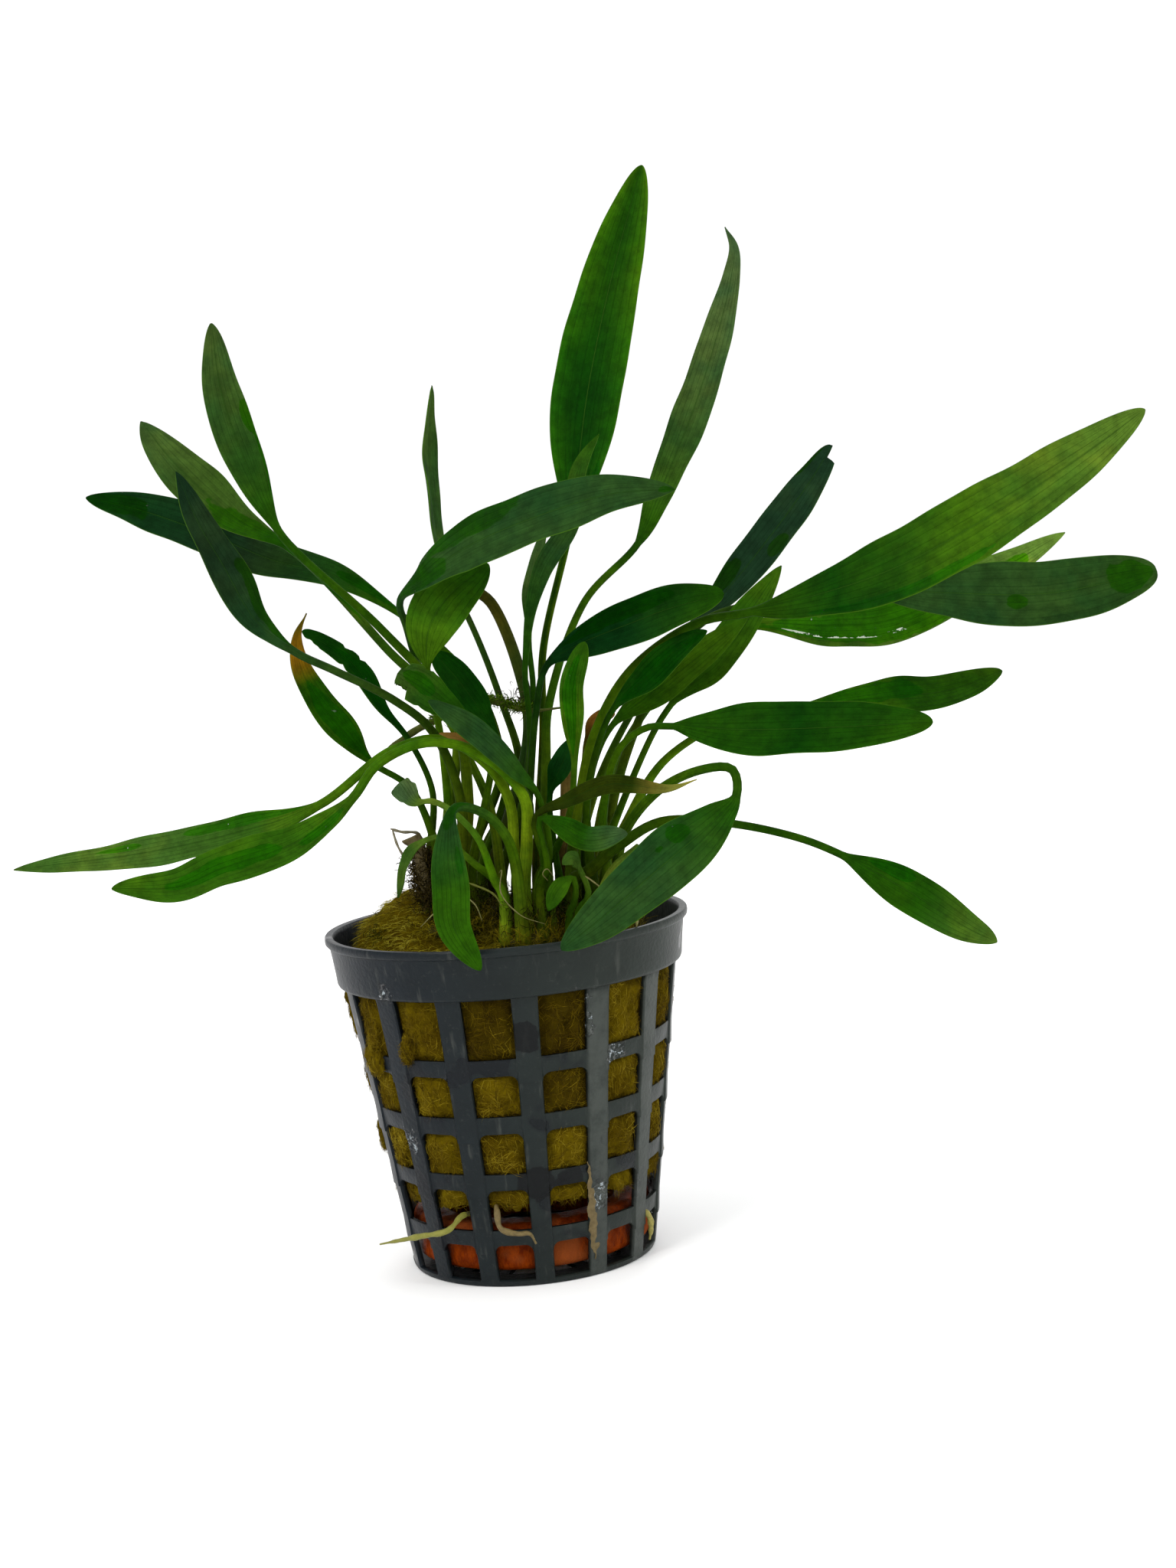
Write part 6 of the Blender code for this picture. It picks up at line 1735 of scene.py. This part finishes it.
# %% Small roots
ROOT_TONES = {
    "pale": (0.15, 0.14, 0.045),
    "green": (0.08, 0.09, 0.006),
    "grey": (0.17, 0.15, 0.095),
    "clear": (0.13, 0.095, 0.035),
    "cream": (0.26, 0.23, 0.060),
}
SMALL_ROOTS = (
    # points, radius, tone
    (((-0.4, -13.5, 58.6), (0, -15, 59.1), (-0.4, -16, 56.2), (2.1, -18, 53), (5.4, -19, 51.6)),
     0.09, "pale"),
    (((-6, -15.6, 57.4), (-5.3, -17, 56.3), (-4, -18, 54.9), (-3.3, -18, 52.6)), 0.09, "pale"),
    (((6.4, -14, 56.9), (5.7, -15, 58.2), (6.3, -15, 58.8), (7.3, -14, 57.3)), 0.08, "pale"),
    (((11.6, -15, 57.3), (12.8, -16, 56.4), (14, -16, 55.2)), 0.12, "pale"),
    (((18.1, -17, 50), (18.1, -18, 51.6), (18.2, -18.4, 50.6), (18, -18.4, 49.6)), 0.25, "pale"),
    (((-4.8, -12, 57.4), (-1.4, -14, 55.7), (-0.4, -15, 54)), 0.17, "green"),
    (((-15.4, -6, 65.4), (-13.8, -6, 64.8), (-11.6, -5, 64.3), (-10.6, -4, 62.4)), 0.22, "grey"),
    (((-15.1, -6, 65.2), (-14.5, -7, 62.9), (-13.5, -7, 60.9), (-12.6, -6.5, 59.6)), 0.19, "grey"),
    (((-4.9, -17.4, 12.6), (-4.9, -19.4, 11.6), (-4.6, -20.2, 9.4), (-2.2, -20.7, 8.5), (-0.6, -20.8, 8.4),
      (0.2, -20.9, 6.9)), 0.42, "clear"),
    (((15.6, -8.6, 7.2), (16.9, -9.4, 6), (17, -9.1, 4), (16.7, -8.6, 2.4)), 0.45, "cream"),
    (((-7, -14.5, 55.6), (-9.5, -16, 54.4), (-12, -16.5, 52.4)), 0.10, "pale"),
    (((9, 14, 50.6), (4, 16.5, 51.6), (-2, 17, 51.2), (-6, 18.5, 50)), 0.12, "pale"),
)


ROOT_FORM = dict(sides=8, step=0.3, least=16, end_share=0.4, tapers=(8.0, 2.5))
ROOT_SWELL, ROOT_PACE = 0.15, 23.0
roots = [tapered_tube(way, radius, **ROOT_FORM, swells=((ROOT_SWELL, ROOT_PACE, float(number)),))
         for number, (way, radius, tone) in enumerate(SMALL_ROOTS)]
root_shades = np.concatenate([np.tile(ROOT_TONES[tone], (len(points), 1))
                              for (points, faces), (way, radius, tone) in zip(roots, SMALL_ROOTS)])
root_mesh = make_mesh("wool_small_roots", *joined(roots))
colour_points(root_mesh, root_shades)
show("wool_small_roots", root_mesh, strand_finish("small_root", 0.5, 0.2), "root")
print("small roots:", len(roots))


# %% Moss, old roots and wool round the stalks
HAIR_CURL = 0.35


def tuft(name, draw, way, count, spread, reach, radius, tones, finish, slot, rise=0.3):
    """Hairs that start near a line and curl away from it. spread is how far from the line they start, reach their
    length, and rise how much they lean upwards. Each has a mix of the two tones."""
    line = smooth_line(way)
    start = line[draw.integers(len(line), size=count)] + draw.normal(0.0, spread, (count, 3))
    way_out = unit(draw.normal(0.0, 1.0, (count, 3)) + (0.0, 0.0, rise))
    length = draw.uniform(*reach, count)[:, None]
    end = start + way_out * length
    middle = start + 0.5 * way_out * length + draw.normal(0.0, HAIR_CURL, (count, 3)) * length
    mix = draw.uniform(0.0, 1.0, (count, 1))
    colours = (1.0 - mix) * np.array(tones[0]) + mix * np.array(tones[1])
    show_strands(name, start, middle, end, draw.uniform(*radius, count), colours, finish, slot)


TUFTS = {
    # points, count, spread, reach, radius, two tones, slot
    "twig_moss": (((-8, 1.4, 79.9), (-3, 2.4, 81.4), (0, 4, 82), (3, 3.7, 81.2), (6, 3, 80)), 1700, (0.3, 0.3, 0.36),
                  (0.4, 1.5), (0.045, 0.085), ((0.030, 0.080, 0.002), (0.110, 0.190, 0.008)), "twig"),
    "twig_curls": (((2, 3.8, 82.0), (5, 3.4, 81.6)), 36, (0.8, 0.4, 0.8),
                   (1.0, 3.0), (0.04, 0.08), ((0.010, 0.010, 0.004), (0.05, 0.04, 0.02)), "twig"),
    "old_roots": (((-10.8, -5, 61.0), (-11.4, -5, 58.0), (-10.7, -6, 54.6)), 1500, (0.8, 0.9, 0.7),
                  (0.8, 2.6), (0.035, 0.09), ((0.006, 0.004, 0.001), (0.080, 0.058, 0.014)), "root"),
    "rim_moss": (((-18.8, -5, 49.4), (-18.4, -1, 50.2), (-17.6, 3, 51.0)), 600, (0.6, 0.9, 0.5),
                 (0.7, 1.9), (0.025, 0.05), ((0.006, 0.012, 0.001), (0.040, 0.050, 0.004)), "twig"),
}
moss_finish = strand_finish("moss_hair", 0.8, 0.02)
for name, (way, count, spread, reach, radius, tones, slot) in TUFTS.items():
    tuft(name, draw, way, count, spread, reach, radius, tones, moss_finish, slot)
print("tufts:", ", ".join(TUFTS))


# %% Wool and old roots round each crown
RING_STEPS = np.arange(12.0)
WOOL_RING, MAT_RING = (5.2, -1.6), (3.9, 1.2)
# Near-black hairs round each crown: partly old roots, partly painted shade among the stalk feet.
MAT_AND_PAINTED_SHADE_TONES = ((0.004, 0.004, 0.001), (0.035, 0.030, 0.006))


def ring_round(crown, radius, rise):
    """Twelve points of an uneven circle round a crown's top: whole radians, brought into one turn and sorted."""
    x, y, top = CROWNS[crown]
    turn = np.sort(np.arctan2(np.sin(RING_STEPS), np.cos(RING_STEPS)))
    return (x, y, 0.0) + round_axis(radius, top + rise, turn)


for name in CROWNS:
    tuft("wool_round_" + name, draw, ring_round(name, *WOOL_RING), 750, (0.9, 0.9, 0.5), (1.2, 3.6), (0.02, 0.04),
         (COVER_TONES[0], COVER_TONES[2]), fibre_finish, "rock_wool", 0.6)
for name in CROWNS:
    tuft("mat_round_" + name, draw, ring_round(name, *MAT_RING), 450, (1.3, 1.3, 1.4), (1.0, 2.8), (0.03, 0.06),
         MAT_AND_PAINTED_SHADE_TONES, moss_finish, "root", 0.8)
print("crowns with wool and a mat round them:", len(CROWNS))


# %% A dry sheath
SHEATH_WAY = ((-10.6, -5.6, 55.0), (-11.3, -5.4, 58.5), (-11.6, -5.0, 61.6), (-12.4, -5.0, 64.0))
SHEATH_RADIUS, SHEATH_HALF_THICKNESS = 1.0, 0.1
SHEATH_HALF_ANGLE, SHEATH_OPENING = 105.0, 0.35
SHEATH_LUMP, SHEATH_LUMP_LENGTH = 0.28, 1.8


def papery_sheath(rows=40, columns=24):
    """The dry brown sheath of a dead leaf: a thin curled sheet along a line. Its section is an arc of a circle, which
    widens and opens towards the top, and noise makes it wavy."""
    line = evenly(smooth_line(SHEATH_WAY), rows)
    ahead = unit(np.gradient(line, axis=0))
    side = unit(np.cross(ahead, (0.0, -1.0, 0.0)))
    front = np.cross(side, ahead)
    share = np.linspace(0.0, 1.0, rows)[:, None]
    bend = full_turn(columns)
    arc = math.radians(SHEATH_HALF_ANGLE) * np.cos(bend) * (1.0 - SHEATH_OPENING * share)
    radius = SHEATH_RADIUS * (0.8 + 0.5 * share) + SHEATH_HALF_THICKNESS * np.sin(bend)
    rings = line[:, None] + side[:, None] * (radius * np.sin(arc))[..., None]
    rings = rings + front[:, None] * (radius * np.cos(arc))[..., None]
    return rings + SHEATH_LUMP * ripple(rings, SHEATH_LUMP_LENGTH, 81)[..., None] * unit(rings - line[:, None])


show_surface("papery_sheath", closed_surface(papery_sheath(), inside_out=True), bark_finish("dry_sheath"), "root")


# %% Dried debris
# Turns from the front in degrees, and heights.
DEBRIS_WAY = ((24.2, 17.4), (24.6, 15.5), (25.4, 12.0), (26.2, 8.0), (26.6, 5.0), (26.8, 2.6))
DEBRIS_HALF_WIDTH, DEBRIS_HALF_THICKNESS, DEBRIS_LIFT = 0.6, 0.12, 0.06
DEBRIS_END_SHARE, DEBRIS_TAPERS = 0.12, (3.0, 6.0)


def debris_flake(rows=70, columns=16):
    """A thin flake on the wall along a line of turns and heights. Its section is a flat ellipse whose width is ragged
    by noise and narrows to the ends."""
    turns, heights = np.array(DEBRIS_WAY).T
    height = np.linspace(heights[0], heights[-1], rows)
    turn = np.radians(np.interp(-height, -heights, turns))
    outward = np.stack((np.sin(turn), -np.cos(turn), 0.0 * turn), axis=-1)
    line = (wall_radius(height) + DEBRIS_LIFT)[:, None] * outward
    line[:, 2] = height
    side = np.cross(unit(np.gradient(line, axis=0)), outward)
    share = np.linspace(0.0, 1.0, rows)
    full = ease(share * DEBRIS_TAPERS[0]) * ease((1.0 - share) * DEBRIS_TAPERS[1])
    width = DEBRIS_HALF_WIDTH * (DEBRIS_END_SHARE + (1.0 - DEBRIS_END_SHARE) * full)
    bend = full_turn(columns)
    across = np.cos(bend) * width[:, None]
    rings = line[:, None] + side[:, None] * across[..., None]
    ragged = across + 0.26 * ripple(rings, 1.6, 71) + 0.08 * ripple(rings, 0.5, 72)
    rings = line[:, None] + side[:, None] * ragged[..., None]
    lift = DEBRIS_HALF_THICKNESS * np.sin(bend) + 0.10 * ripple(rings, 1.4, 73)
    return rings + outward[:, None] * lift[..., None]


show_surface("rib_debris", closed_surface(debris_flake()), bark_finish("dried_debris"), "root")
